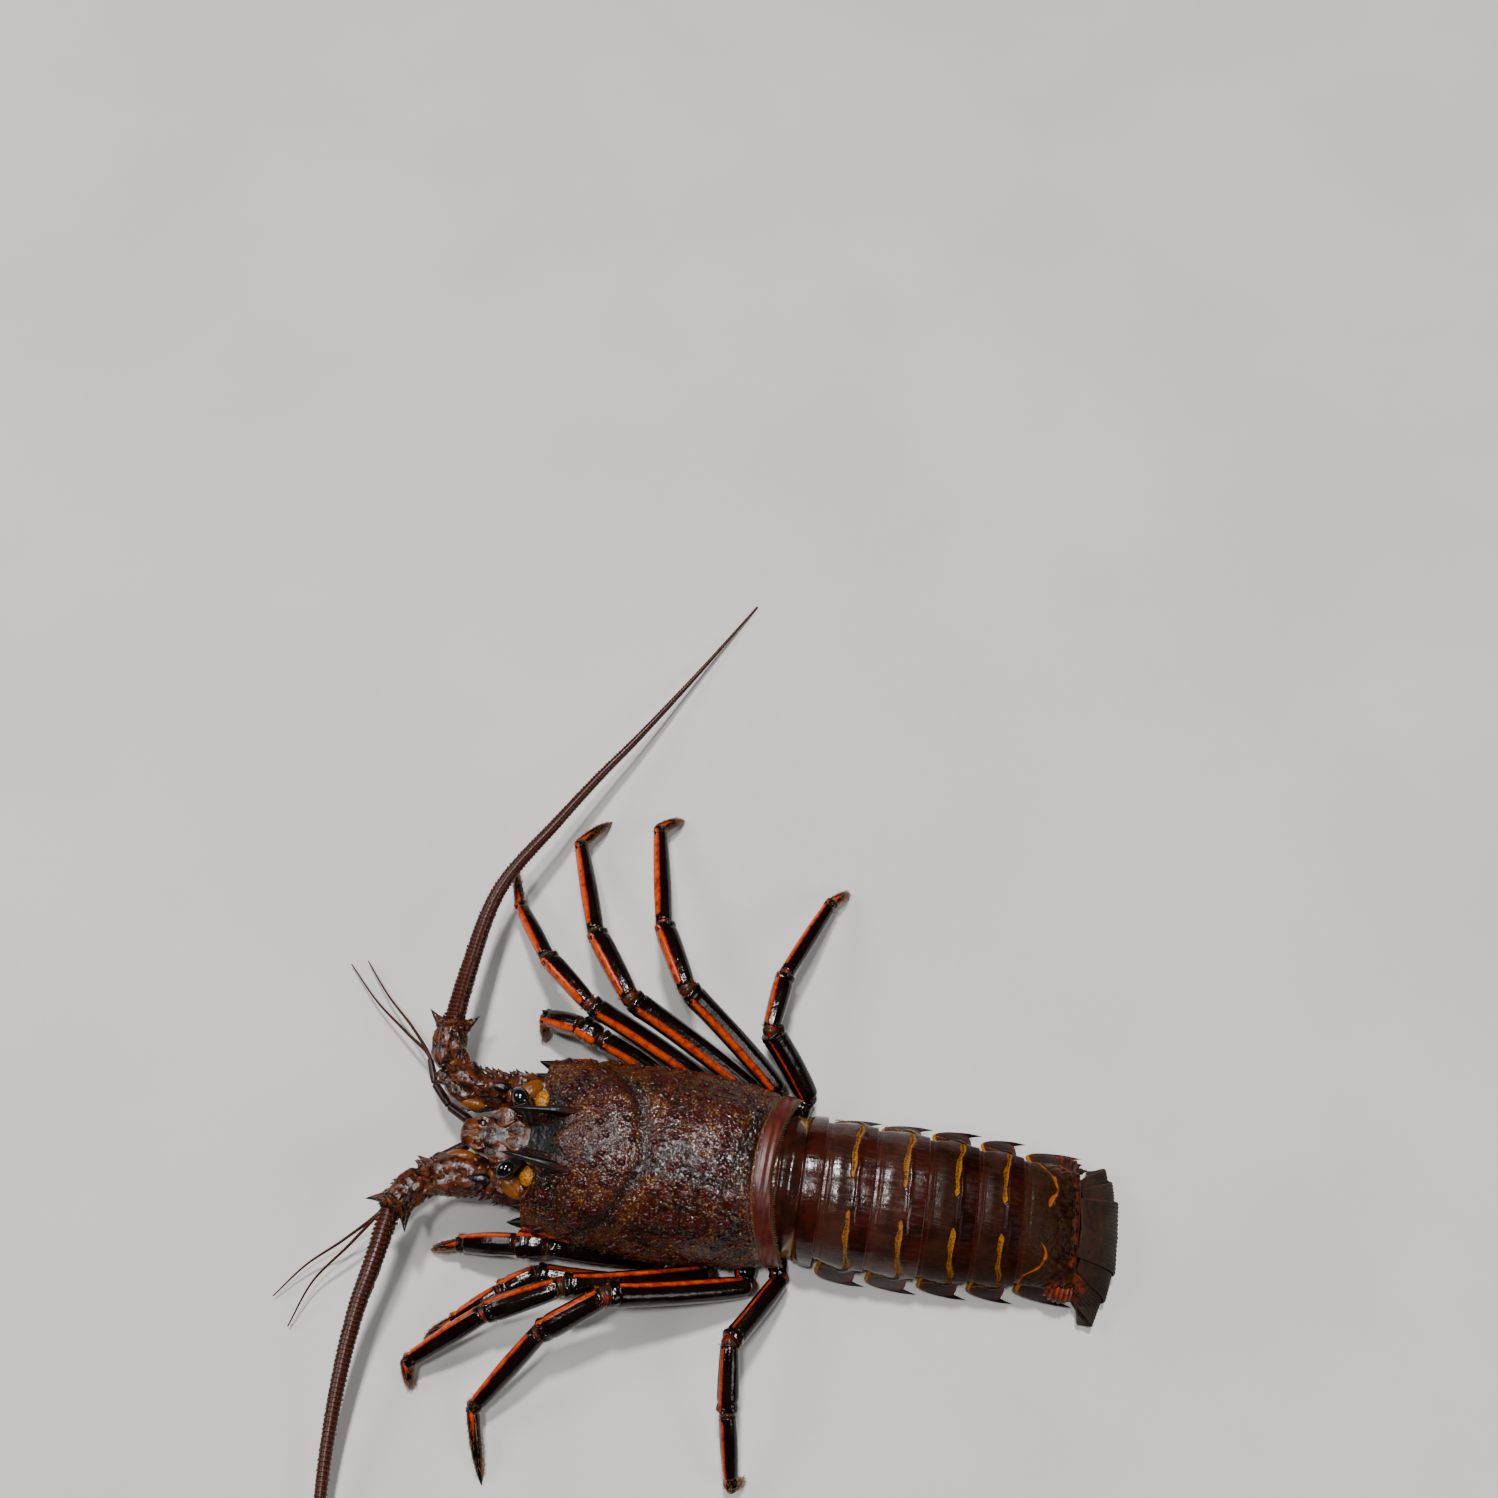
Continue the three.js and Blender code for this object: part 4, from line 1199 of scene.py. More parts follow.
@dataclass
class Carapace:
    """The thorax shell: a granular vault with a neck groove, knobs, spines, two horns and the eye notches."""

    front: float = -51.5
    groove: float = -1.0
    rear: float = 52.4
    waist: float = 27.0
    drop: float = 22.0
    brim: float = 12.0
    margin: float = 12.15
    width: Stations = ((-52, 35), (-30, 38.5), (0, 40), (28, 39.3), (46, 37), (62, 34.5))
    top: Stations = ((-52, 43), (-38, 50), (-20, 55), (0, 56), (25, 58), (44, 55.5), (62, 52))
    orbit_place: Place = (18.8, -54.5, 45.0)
    orbit_size: Place = (9.5, 8.2, 8.5)
    rows: int = 236
    columns: int = 384
    spine_rows: tuple[float, ...] = (7, 23, 39, 55, 72, 90)
    spine_step: float = 10.5
    front_spine: tuple[float, float] = (4.4, 2.3)
    rear_spine: tuple[float, float] = (2.5, 2.3)
    corner_spines: Stations = (
        (32.5, -44, 29.5, 11.5, 4.5), (33.5, -39, 20.5, 8.5, 3), (26.6, -46, 34, 9, 3.5)
    )
    crest_spines: Stations = ((13, 0.62, 5), (17, 0.86, 4.4), (27, 0.32, 5.4))
    knob_tries: int = 2600
    grain_count: int = 6500
    comb_count: int = 130
    hair_count: int = 1100
    horn_line: Stations = (
        (12.6, -28.0, 48.6), (12.0, -33.0, 49.6), (11.2, -39, 50.8),
        (10.4, -46, 52.3), (9.6, -53.5, 53.5), (9.1, -60.5, 53.9),
    )
    horn_size: Stations = (
        (0, 0.9, 1.0), (0.18, 1.7, 2.2), (0.34, 1.95, 3.0), (0.55, 1.55, 2.5),
        (0.78, 1.1, 1.6), (0.9, 0.75, 1.0), (1, 0.1, 0.12),
    )

    @property
    def margin_angle(self) -> float:
        """Angle from the back down to the shell's lower edge."""
        return float(np.pi - np.arccos((self.waist - self.brim) / self.drop))

    def bounds(self, angle: Array) -> tuple[Array, Array, Array]:
        """Where the front edge, the neck groove and the rear edge lie along Y at an angle.

        Args:
            angle: Angles round the shell, 0 on the back.

        Returns:
            The three places.
        """
        bend = np.abs(angle) / (np.pi / 2)
        return (
            self.front + 3.5 * bend**1.5,
            self.groove - 21 * bend**1.2,
            self.rear + 8 * np.sin(angle) ** 2,
        )

    def furrow(self, angle: Array) -> Array:
        """Where the neck furrow runs along Y: nearly straight over the back, then forward down the flanks."""
        bend = np.abs(angle) / (np.pi / 2)
        return self.groove - 36 * step(0.0, 1.25, bend) + 0.5 * np.sin(angle * 9 + 0.5)

    def shell(self, run: Array, angle: Array, lift: Array | float = 0.0) -> Array:
        """Points of the shell.

        The cross-section is an oval whose half width and height follow the length, cut in by the neck groove
        and by a line in front of the rear rim.

        Args:
            run: 0 at the front edge, 1 at the neck groove and 2 at the rear edge.
            angle: 0 on the back, plus or minus a quarter turn at the widest line.
            lift: Height above the smooth shell.

        Returns:
            The points.
        """
        front, groove, rear = self.bounds(angle)
        y = np.where(run < 1, front + (groove - front) * run, groove + (rear - groove) * (run - 1))
        line = self.furrow(angle)
        neck = -1.5 * bell(y, line, 3.2)
        rim = -1.2 * bell(y, rear - 8, 1.1) + 0.3 * bell(y, rear - 4, 2.6)
        rise = lift + neck + rim
        wide = along(self.width, y) + rise
        high = np.where(np.abs(angle) < np.pi / 2, along(self.top, y) - self.waist, self.drop)
        return np.stack([wide * np.sin(angle), y, self.waist + (high + rise) * np.cos(angle)], -1)

    def normal(self, run: Array, angle: Array) -> Array:
        """Outward directions of the smooth shell.

        Args:
            run: Places along the shell, as for shell.
            angle: Angles round it.

        Returns:
            One direction for each.
        """
        size = 0.02
        forward = self.shell(run + size, angle) - self.shell(run - size, angle)
        around = self.shell(run, angle + size) - self.shell(run, angle - size)
        return unit(np.cross(around, forward))

    def main_spines(self) -> tuple[Array, Array, Array, Array]:
        """Places of the main spines, drawn as in the solids.

        Returns:
            The runs, angles, heights and radii.
        """
        draws = Draws(SEED)
        found = []
        for side in (1, -1):
            for index, row in enumerate(self.spine_rows):
                y = -40 + (index % 2) * self.spine_step * 0.5
                while y < 45:
                    angle = side * np.radians(row + (draws.next() - 0.5) * 5)
                    place = y + (draws.next() - 0.5) * 3.5
                    size = 0.82 + 0.3 * draws.next()
                    y += self.spine_step
                    front, groove, rear = (float(b) for b in self.bounds(angle))
                    if place < groove:
                        run = 1 - (groove - place) / (groove - front)
                    else:
                        run = 1 + (place - groove) / (rear - groove)
                    if (row < 30 and place < -26) or run < 0.1 or abs(run - 1) < 0.07 or run > 1.76:
                        continue
                    f = min(max((place + 40) / 70, 0), 1)
                    tall, radius = np.array(self.front_spine) * (1 - f) + np.array(self.rear_spine) * f
                    found.append((run, angle, tall * size, radius * size))
        return tuple(np.array(found).T)

    def knobs(self, rng: np.random.Generator) -> tuple[Array, Array, Array]:
        """Places of the smaller knobs, scattered clear of the main spines.

        Args:
            rng: The seeded draws.

        Returns:
            The runs, angles and sizes.
        """
        run, angle, _, _ = self.main_spines()
        taken = self.shell(run, angle)
        kept = []
        runs = rng.uniform(0.06, 1.8, self.knob_tries)
        angles = rng.uniform(-2.1, 2.1, self.knob_tries)
        sizes = rng.uniform(0.75, 1.6, self.knob_tries)
        spots = self.shell(runs, angles)
        for i in range(self.knob_tries):
            clear = np.linalg.norm(taken - spots[i], axis=1).min() > 2.6 + sizes[i]
            on_plate = abs(angles[i]) < 0.25 and runs[i] < 0.55
            if clear and not on_plate and abs(runs[i] - 1) > 0.07:
                kept.append(i)
                taken = np.vstack([taken, spots[i]])
        return runs[kept], angles[kept], sizes[kept]

    def lumps(
        self, base: Array, run: Array, angle: Array, long: Array, wide: Array, tall: Array, level: float = 0.7
    ) -> Array:
        """Height of many oval lumps on the shell's grid.

        A lump falls off with the squared distance in its oval and is higher toward its front end.

        Args:
            base: The grid's smooth points.
            run: Run of each lump's middle.
            angle: Angle of each lump's middle.
            long: Half length along the body.
            wide: Half width.
            tall: Height.
            level: Height at a lump's middle as a share; the rest of one is its slope toward the front.

        Returns:
            The height at each point of the grid.
        """
        lift = np.zeros(base.shape[:2])
        middle = self.shell(run, angle)
        row = np.clip(run / 2 * (self.rows - 1), 0, self.rows - 1).round().astype(int)
        col = ((angle / self.margin_angle + 1) / 2 * (self.columns - 1)).round().astype(int)
        reach = 14
        for k in range(len(run)):
            rows = slice(max(row[k] - reach, 0), row[k] + reach)
            cols = slice(max(col[k] - reach, 0), col[k] + reach)
            away = base[rows, cols] - middle[k]
            ahead = away[..., 1] / long[k]
            q = ahead**2 + (away[..., 0] ** 2 + away[..., 2] ** 2) / wide[k] ** 2
            form = np.clip(1 - q, 0, 1) ** 0.6 * (level - (1 - level) * ahead)
            lift[rows, cols] = np.maximum(lift[rows, cols], tall[k] * form)
        return lift

    def hollowed(self, points: Array) -> tuple[Array, Array]:
        """Moves points that lie in an eye notch to the notch's inner wall.

        Each such point travels back, down and inward until it meets the far side of the notch's oval.

        Args:
            points: Any array of points.

        Returns:
            The moved points, and 1 where a point was moved.
        """
        moved = np.zeros(points.shape[:-1])
        for side in (1, -1):
            middle = vec(self.orbit_place[0] * side, *self.orbit_place[1:])
            radii = vec(*self.orbit_size)
            heading = unit(vec(-0.3 * side, 0.75, -0.55))
            q = (points - middle) / radii
            d = heading / radii
            a, b, c = (d**2).sum(), (q * d).sum(-1), (q**2).sum(-1) - 1
            t = (-b + np.sqrt(np.maximum(b**2 - a * c, 0))) / a
            inside = (c < 0) & (t > 0)
            points = np.where(inside[..., None], points + t[..., None] * heading, points)
            moved = np.maximum(moved, inside.astype(float))
        return points, moved

    def skin(self) -> Skin:
        """The vault itself, closed underneath and at both ends.

        Returns:
            The surface.
        """
        rng = np.random.default_rng(SEED)
        edge = self.margin_angle
        run, angle = np.meshgrid(
            np.linspace(0, 2, self.rows), np.linspace(-edge, edge, self.columns), indexing="ij"
        )
        base = self.shell(run, angle)
        front, _, rear = self.bounds(angle)
        y = base[..., 1]
        line = self.furrow(angle)
        big_run, big_angle, _, wide = self.main_spines()
        big = self.lumps(base, big_run, big_angle, wide * 1.6, wide * 1.1, wide * 0.2, 0.55)
        ones = np.ones_like(wide)
        patch = self.lumps(base, big_run, big_angle, wide * 1.75, wide * 1.35, ones, 0.9)
        small_run, small_angle, size = self.knobs(rng)
        small = self.lumps(base, small_run, small_angle, size * 1.35, size, size * 0.3)
        grain_run = rng.uniform(0.02, 1.82, self.grain_count)
        grain_angle = rng.uniform(-edge, edge, self.grain_count)
        grit = rng.uniform(0.4, 0.75, self.grain_count)
        fine = self.lumps(base, grain_run, grain_angle, grit, grit, grit * 0.36)
        plate = np.clip(bell(angle, 0, 0.2) * 1.6, 0, 1) * step(-33, -39, y + 4 * np.cos(angle * 14))
        groove_mask = bell(y, line + 0.8 * np.sin(angle * 23), 3.0)
        rim = step(-7.4, -6.6, y - rear)
        bare = np.clip(plate * 0.6 + rim, 0, 1)
        lift = np.maximum(big * (1 - groove_mask), small * (1 - bare)) + fine * (1 - bare)
        lift = lift - 2.4 * plate * step(-34, -44, y)
        lift = lift + 0.9 * bell(np.abs(angle), 0.3, 0.07) * step(-30, -38, y)
        lift = lift + 0.35 * np.sin(angle * 7 + 1) * bell(y, -22, 12) + 0.3 * np.sin(angle * 5 + y * 0.13)
        ridge = bell(np.abs(angle), 1.34, 0.035) * step(-25, -31, y)
        lift = lift + 0.9 * ridge + 0.7 * bell(y, front, 1.6) * (1 - plate)
        lift = lift + (0.12 * np.sin(y * 2.1 + angle * 4) + 0.25 * bell(y, rear - 1.2, 1.0)) * rim
        points = self.shell(run, angle, lift)
        points[..., 2] = np.maximum(points[..., 2], self.margin)
        points[:, 0, 2] = points[:, -1, 2] = self.margin
        points, orbit = self.hollowed(points)
        flank = step(0.75, 1.3, np.abs(angle)) * 0.16 + 0.08 * bell(y, line + 7, 4) * (np.abs(angle) > 0.25)
        values = {
            "knob": np.clip(patch * 1.5 * (1 - groove_mask), 0, 1) + np.clip(small / 0.35, 0, 1) * 0.3,
            "groove": groove_mask,
            # Where the crown's painted sheen and its slight extra roughness go.
            "crown": bell(y, -20, 12) * bell(angle, 0.1, 0.5),
            "plate": plate,
            "rim": rim,
            "seam": bell(y, rear - 7.8, 0.45) * 0.7,
            "ridge": ridge * 0.9,
            "sand": flank,
            "bare": bare,
            "orbit": orbit,
        }
        return self.closed(points, values)

    def closed(self, points: Array, values: dict[str, Array]) -> Skin:
        """Closes the vault: a flat strip underneath and a dished wall at each end.

        Args:
            points: The vault's grid.
            values: Its named values.

        Returns:
            The closed surface.
        """
        under = 9
        f = np.linspace(0, 1, under + 2)[1:-1][None, :, None]
        strip = points[:, -1:] * (1 - f) + points[:, :1] * f
        rings = np.concatenate([points, strip], 1)
        shares = np.array([0.97, 0.93, 0.85, 0.7, 0.5, 0.28, 0.08])[:, None, None]
        depth = np.array([0.6, 2.2, 4, 5.5, 6.5, 7, 7])[:, None, None]
        middle, across, lengthwise = vec(0, 0, 28), vec(1, 0, 1), vec(0, 1, 0)
        walls = []
        for edge, way in ((rings[:1], 1), (rings[-1:], -1)):
            wall = (middle + (edge - middle) * across * shares) * across
            walls.append(wall + edge * lengthwise + way * lengthwise * depth)
        whole = np.concatenate([walls[0][::-1], rings, walls[1]])
        return tube(whole, padded(values, len(shares), under))

    def spines(self) -> Skin:
        """The spines of the back, corners and crests, curved forward.

        Returns:
            The surface.
        """
        run, angle, tall, radius = self.main_spines()
        f = np.clip((self.shell(run, angle)[:, 1] + 40) / 70, 0, 1)
        heading = self.normal(run, angle) * 0.85 + np.stack([0 * f, -1.45 + 0.3 * f, 0 * f], -1)
        hook = vec(0, -0.1, 0.16)
        clear = np.abs(self.shell(run, angle)[:, 1] - self.furrow(angle)) > 2.4
        run, angle, heading, tall, radius = (v[clear] for v in (run, angle, heading, tall, radius))
        parts = [spikes(self.shell(run, angle, 0.3), heading, tall * 0.62, radius * 0.42, 12, 9, hook, 1.2)]
        for side in (1, -1):
            corner = np.array(self.corner_spines)
            roots = corner[:, :3] * np.array([side, 1, 1])
            lean = np.tile(vec(side * 0.16, -1, 0.12), (len(corner), 1))
            parts.append(spikes(roots, lean, corner[:, 3], corner[:, 4], 16, 12, vec(0, 0, 0.06), 3))
            crest = np.array(self.crest_spines)
            at, turn = crest[:, 1], side * np.radians(crest[:, 0])
            lean = self.normal(at, turn) + vec(0, -1.1, 0)
            tall = crest[:, 2] * 0.55
            parts.append(spikes(self.shell(at, turn), lean, tall, 1.1, 16, 12, vec(0, -0.1, 0.1), 1.4))
        return join(parts)

    def fringe(self, rng: np.random.Generator) -> Skin:
        """The comb of short bristles along the rear edge, and the fine hairs among the knobs.

        Args:
            rng: The seeded draws.

        Returns:
            The surface.
        """
        count = self.comb_count
        angle = np.linspace(-1.6, 1.6, count)
        roots = self.shell(np.full(count, 1.995), angle, -0.3)
        heading = np.tile(vec(0, 1, 0), (count, 1)) + self.normal(np.full(count, 1.97), angle) * 0.15
        comb = bristles(roots, heading, rng.uniform(1.7, 2.4, count), 0.2, 0.1)
        run = rng.uniform(0.08, 1.78, self.hair_count)
        turn = rng.uniform(-2.0, 2.0, self.hair_count)
        clear = (np.abs(turn) > 0.35) | (run > 0.6)
        run, turn = run[clear], turn[clear]
        hairs = len(run)
        lean = self.normal(run, turn) * 0.5 + vec(0, -1, 0) + rng.normal(0, 0.25, (hairs, 3))
        fuzz = bristles(self.shell(run, turn, 0.1), lean, rng.uniform(0.7, 1.2, hairs), 0.1, 0.0)
        return join([comb, fuzz])

    def horn(self, side: int) -> Skin:
        """A horn over an eye, flat from side to side, with a keel under it and fine ribs.

        Args:
            side: 1 for left and -1 for right.

        Returns:
            The surface.
        """
        up = np.linspace(0, 1, 90)
        path = through(np.array(self.horn_line) * np.array([side, 1, 1]), up)
        size = np.array(self.horn_size)
        form = sweep(path, along(size[:, :2], up), along(size[:, (0, 2)], up), 32)
        turn = np.arctan2(form.top, form.side)
        up = up[:, None]
        ribs = 0.16 * np.sin(turn * 6 + up * 5) * (1 - up) + 0.2 * bell(up, 0.3, 0.07) * np.sin(turn * 3)
        return tube(form.lifted(ribs), {"tip": step(0.05, 0.6, up)})

    def build(self, shop: Workshop) -> None:
        """Makes the shell, its spines, its bristles and the horns.

        Args:
            shop: The workshop that takes the pieces.
        """
        shop.piece("carapace_vault", self.skin(), Finish.CARAPACE, "carapace")
        shop.piece("carapace_spines", self.spines(), Finish.SPINE)
        for side in Side:
            shop.piece(f"horn_{side.word}", self.horn(side.value), Finish.SPINE)
        fringe = self.fringe(np.random.default_rng(SEED + 1))
        shop.piece("carapace_bristles", fringe, Finish.BRISTLE)


@dataclass
class Sternum:
    """The breast plate: a flat sole with low furrows between the leg sockets."""

    stations: Stations = (
        (-42, 13, 4, 6), (-36, 17, 6, 3), (-22, 23, 8, 0), (-6, 26.5, 11, 0),
        (20, 27.5, 15, 0), (44, 26, 16, 0), (54, 23, 15, 0), (58, 19, 11, 3),
    )
    top: float = 11.85

    def skin(self) -> Skin:
        """The plate as a stack of sections along Y, with a furrow up each side between two legs.

        Returns:
            The surface.
        """
        table = np.array(self.stations)
        y = np.linspace(table[0, 0], table[-1, 0], 120)
        brim, foot, low = (np.interp(y, table[:, 0], table[:, k]) for k in (1, 2, 3))
        furrow = 0.9 * np.cos(y / 13.5 * 2 * np.pi) ** 8
        half = np.stack([foot * 0, foot * 0.5, foot - 1, foot, foot + 4, brim - 0.8, brim], -1)
        brow = np.full_like(low, self.top)
        rise = np.stack([low + 0.1, low, low, low + 0.6, low + (brow - low) * 0.55, brow - 0.85, brow], -1)
        half[:, 4:6] -= furrow[:, None]
        f = np.linspace(0, 6, 40)
        wide = np.stack([np.interp(f, range(7), row) for row in half])
        high = np.stack([np.interp(f, range(7), row) for row in rise])
        right = np.stack([-wide, np.broadcast_to(y[:, None], wide.shape), high], -1)
        left = right[:, ::-1] * np.array([-1, 1, 1])
        return tube(np.concatenate([left, right[:, 1:]], 1))

    def build(self, shop: Workshop) -> None:
        """Makes the plate."""
        shop.piece("breast_plate", self.skin(), Finish.BELLY, "sternum")


# Head


@dataclass
class Head:
    """The face: mouth frame, plate of the inner feelers, eyes on their stalks and the jaw legs."""

    stations: Stations = (
        (-42, 12, 10, 40), (-54, 11.5, 10, 40), (-60, 10.6, 11.5, 38.3),
        (-68, 9.3, 20, 36.8), (-76, 7.2, 25, 35.5), (-83, 4.8, 27, 33.5),
    )
    small_spines: Stations = ((5, -66, 35), (4, -74, 34.5), (6.5, -58, 36))
    plates: Stations = ((7.6, -64.5, 36.4, 5.6), (2.9, -57.5, 38.8, 4.2), (4.0, -74.0, 34.2, 4.0))
    eye_place: Place = (15.0, -57.6, 46.3)
    eye_radius: float = 4.2
    brush_count: int = 120

    def face(self) -> Skin:
        """The mouth frame and the feelers' plate, with a crease, six small spines and six low oval plates.

        Returns:
            The surface.
        """
        table = np.array(self.stations)
        y = np.linspace(-42, -83, 70)
        wide, low, high = (along(np.stack([-table[:, 0], table[:, k]], -1), -y) for k in (1, 2, 3))
        path = np.stack([0 * y, y, (low + high) / 2], -1)
        end = dome(-42 - y, 41, 0.5, 3)
        form = sweep(path, wide * end, (high - low) / 2 * end, 48, 0.85)
        crease = -0.9 * bell(form.side, 0, 0.16) * (form.top > 0)
        ripple = 0.35 * np.sin(form.rings[..., 1] * 0.9) * (np.abs(form.side) > 0.3)
        body = tube(form.lifted(crease + ripple), {"lobe": bell(form.rings[..., 1], -76, 3) * 0.4})
        roots = np.array(self.small_spines)
        roots = np.concatenate([roots, roots * np.array([-1, 1, 1])])
        lean = roots * np.array([0.05, 0, 0]) + vec(0, -0.8, 1)
        tall = np.array([4.5, 2.4, 3, 4.5, 2.4, 3])
        bosses = []
        for side in (1, -1):
            for x, depth, z, size in self.plates:
                middle = vec(side * x, depth, z)
                start, end = middle + vec(side, size, 0.4), middle - vec(side, size, 0.8)
                boss = egg(start, end, size * 0.72, size * 0.24, 32, 0.8)
                edge = bell(np.abs(boss.side), 1, 0.16)
                bosses.append(tube(boss.lifted(0.35 * edge), {"soft": 1 - edge, "lobe": edge * 0.7}))
        return join([body, *bosses, spikes(roots, lean, tall, 1.6, 12, 8, vec(0, -0.15, 0))])

    def eye(self, side: int) -> Skin:
        """An eyeball like a bean, pointing forward and outward on a short stalk.

        Args:
            side: 1 for left and -1 for right.

        Returns:
            The surface.
        """
        middle = vec(side * self.eye_place[0], *self.eye_place[1:])
        lean = vec(side * 0.68, -0.72, -0.1) * (self.eye_radius + 1.0)
        ball = egg(middle - lean, middle + lean, self.eye_radius * 0.9, self.eye_radius * 0.95)
        f = np.linspace(0, 1, 30)
        path = through(((side * 6.5, -52.5, 41.5), (side * 10, -54, 44.2), (side * 13.4, -56.2, 46)), f)
        thick = along(((0, 2.4), (0.4, 2.6), (0.7, 3.2), (1, 3.4)), f)
        stalk = sweep(path, thick, thick, 24)
        return join([tube(ball.rings), tube(stalk.rings).with_values(stalk=1.0)])

    def socket(self, side: int) -> Skin:
        """The yellow granular skin behind an eye and the smooth tan plate beside it.

        Args:
            side: 1 for left and -1 for right.

        Returns:
            The surface.
        """
        pad = egg(vec(side * 11.6, -47.4, 43.4), vec(side * 20, -49.4, 40.2), 3.6, 3.0, 40, 0.5)
        turn = np.arctan2(pad.top, pad.side)
        pebbles = 0.25 * np.sin(pad.run * 7)[:, None] * np.sin(turn * 13 + pad.run[:, None] * 2)
        plate = egg(vec(side * 15.6, -60, 40.6), vec(side * 25, -50, 35.8), 4.0, 2.0, 40, 0.7)
        crease = -0.3 * bell(plate.side, 0.05, 0.12) * (plate.top > 0)
        skin = tube(pad.lifted(pebbles), {"membrane": 1.0})
        return join([skin, tube(plate.lifted(crease), {"lobe": 0.95, "soft": 1.0})])

    def jaw_leg(self, side: int) -> Skin:
        """A jaw leg of two short lengths, with a brush of bristles along its inner edge.

        Args:
            side: 1 for left and -1 for right.

        Returns:
            The surface.
        """
        rng = np.random.default_rng(SEED + 6)
        knots = (vec(side * 9, -34, 8), vec(side * 13, -55, 8.5), vec(side * 7, -66, 9))
        parts = []
        for start, end, wide, high in ((knots[0], knots[1], 3.6, 3.2), (knots[1], knots[2], 2.8, 2.6)):
            run = np.linspace(0, 1, 40)
            length = float(np.linalg.norm(end - start))
            swell = along(((0, 0.85), (0.4, 1.0), (0.85, 0.95), (1, 0.7)), run)
            swell = swell * dome(run * length, length, 2.5, 2)
            form = sweep(straight(start, end, 40), wide * swell + THIN, high * swell + THIN, 24)
            parts.append(tube(form.rings, {"across": form.side * wide, "facing": form.top, "band": 0.6}))
            count = self.brush_count
            f = rng.uniform(0.1, 0.95, count)
            roots = start + (end - start) * f[:, None] + vec(-side * wide * 0.8, 0, 0)
            lean = vec(-side, -0.6, 0) + rng.normal(0, 0.3, (count, 3))
            parts.append(bristles(roots, lean, rng.uniform(2, 3.4, count), 0.12, 0.15))
        return join(parts)

    def build(self, shop: Workshop) -> None:
        """Makes the face, eyes, eye sockets and jaw legs.

        Args:
            shop: The workshop that takes the pieces.
        """
        shop.piece("face_plate", self.face(), Finish.FEELER, "head")
        for side in Side:
            word = side.word
            shop.piece(f"eyeball_{word}", self.eye(side.value), Finish.EYE, f"eye_{word}")
            shop.piece(f"eye_socket_{word}", self.socket(side.value), Finish.FEELER)
            jaw_leg = self.jaw_leg(side.value)
            shop.piece(f"jaw_leg_{word}", jaw_leg, Finish.LEG, f"maxilliped_{word}")


# Feelers


@dataclass(frozen=True)
class Length:
    """One thick length of a feeler: its swell, the height of its lobes, and the spans between two joints.

    The swell gives a fraction of the length, a half width and a half height. A span gives its first joint,
    how far its spines and its spinules stand off the axis, and the fraction, angle and height of each spine.
    """

    name: str
    swell: Stations
    lobes: float
    spans: tuple[tuple[int, float, float, Stations], ...]


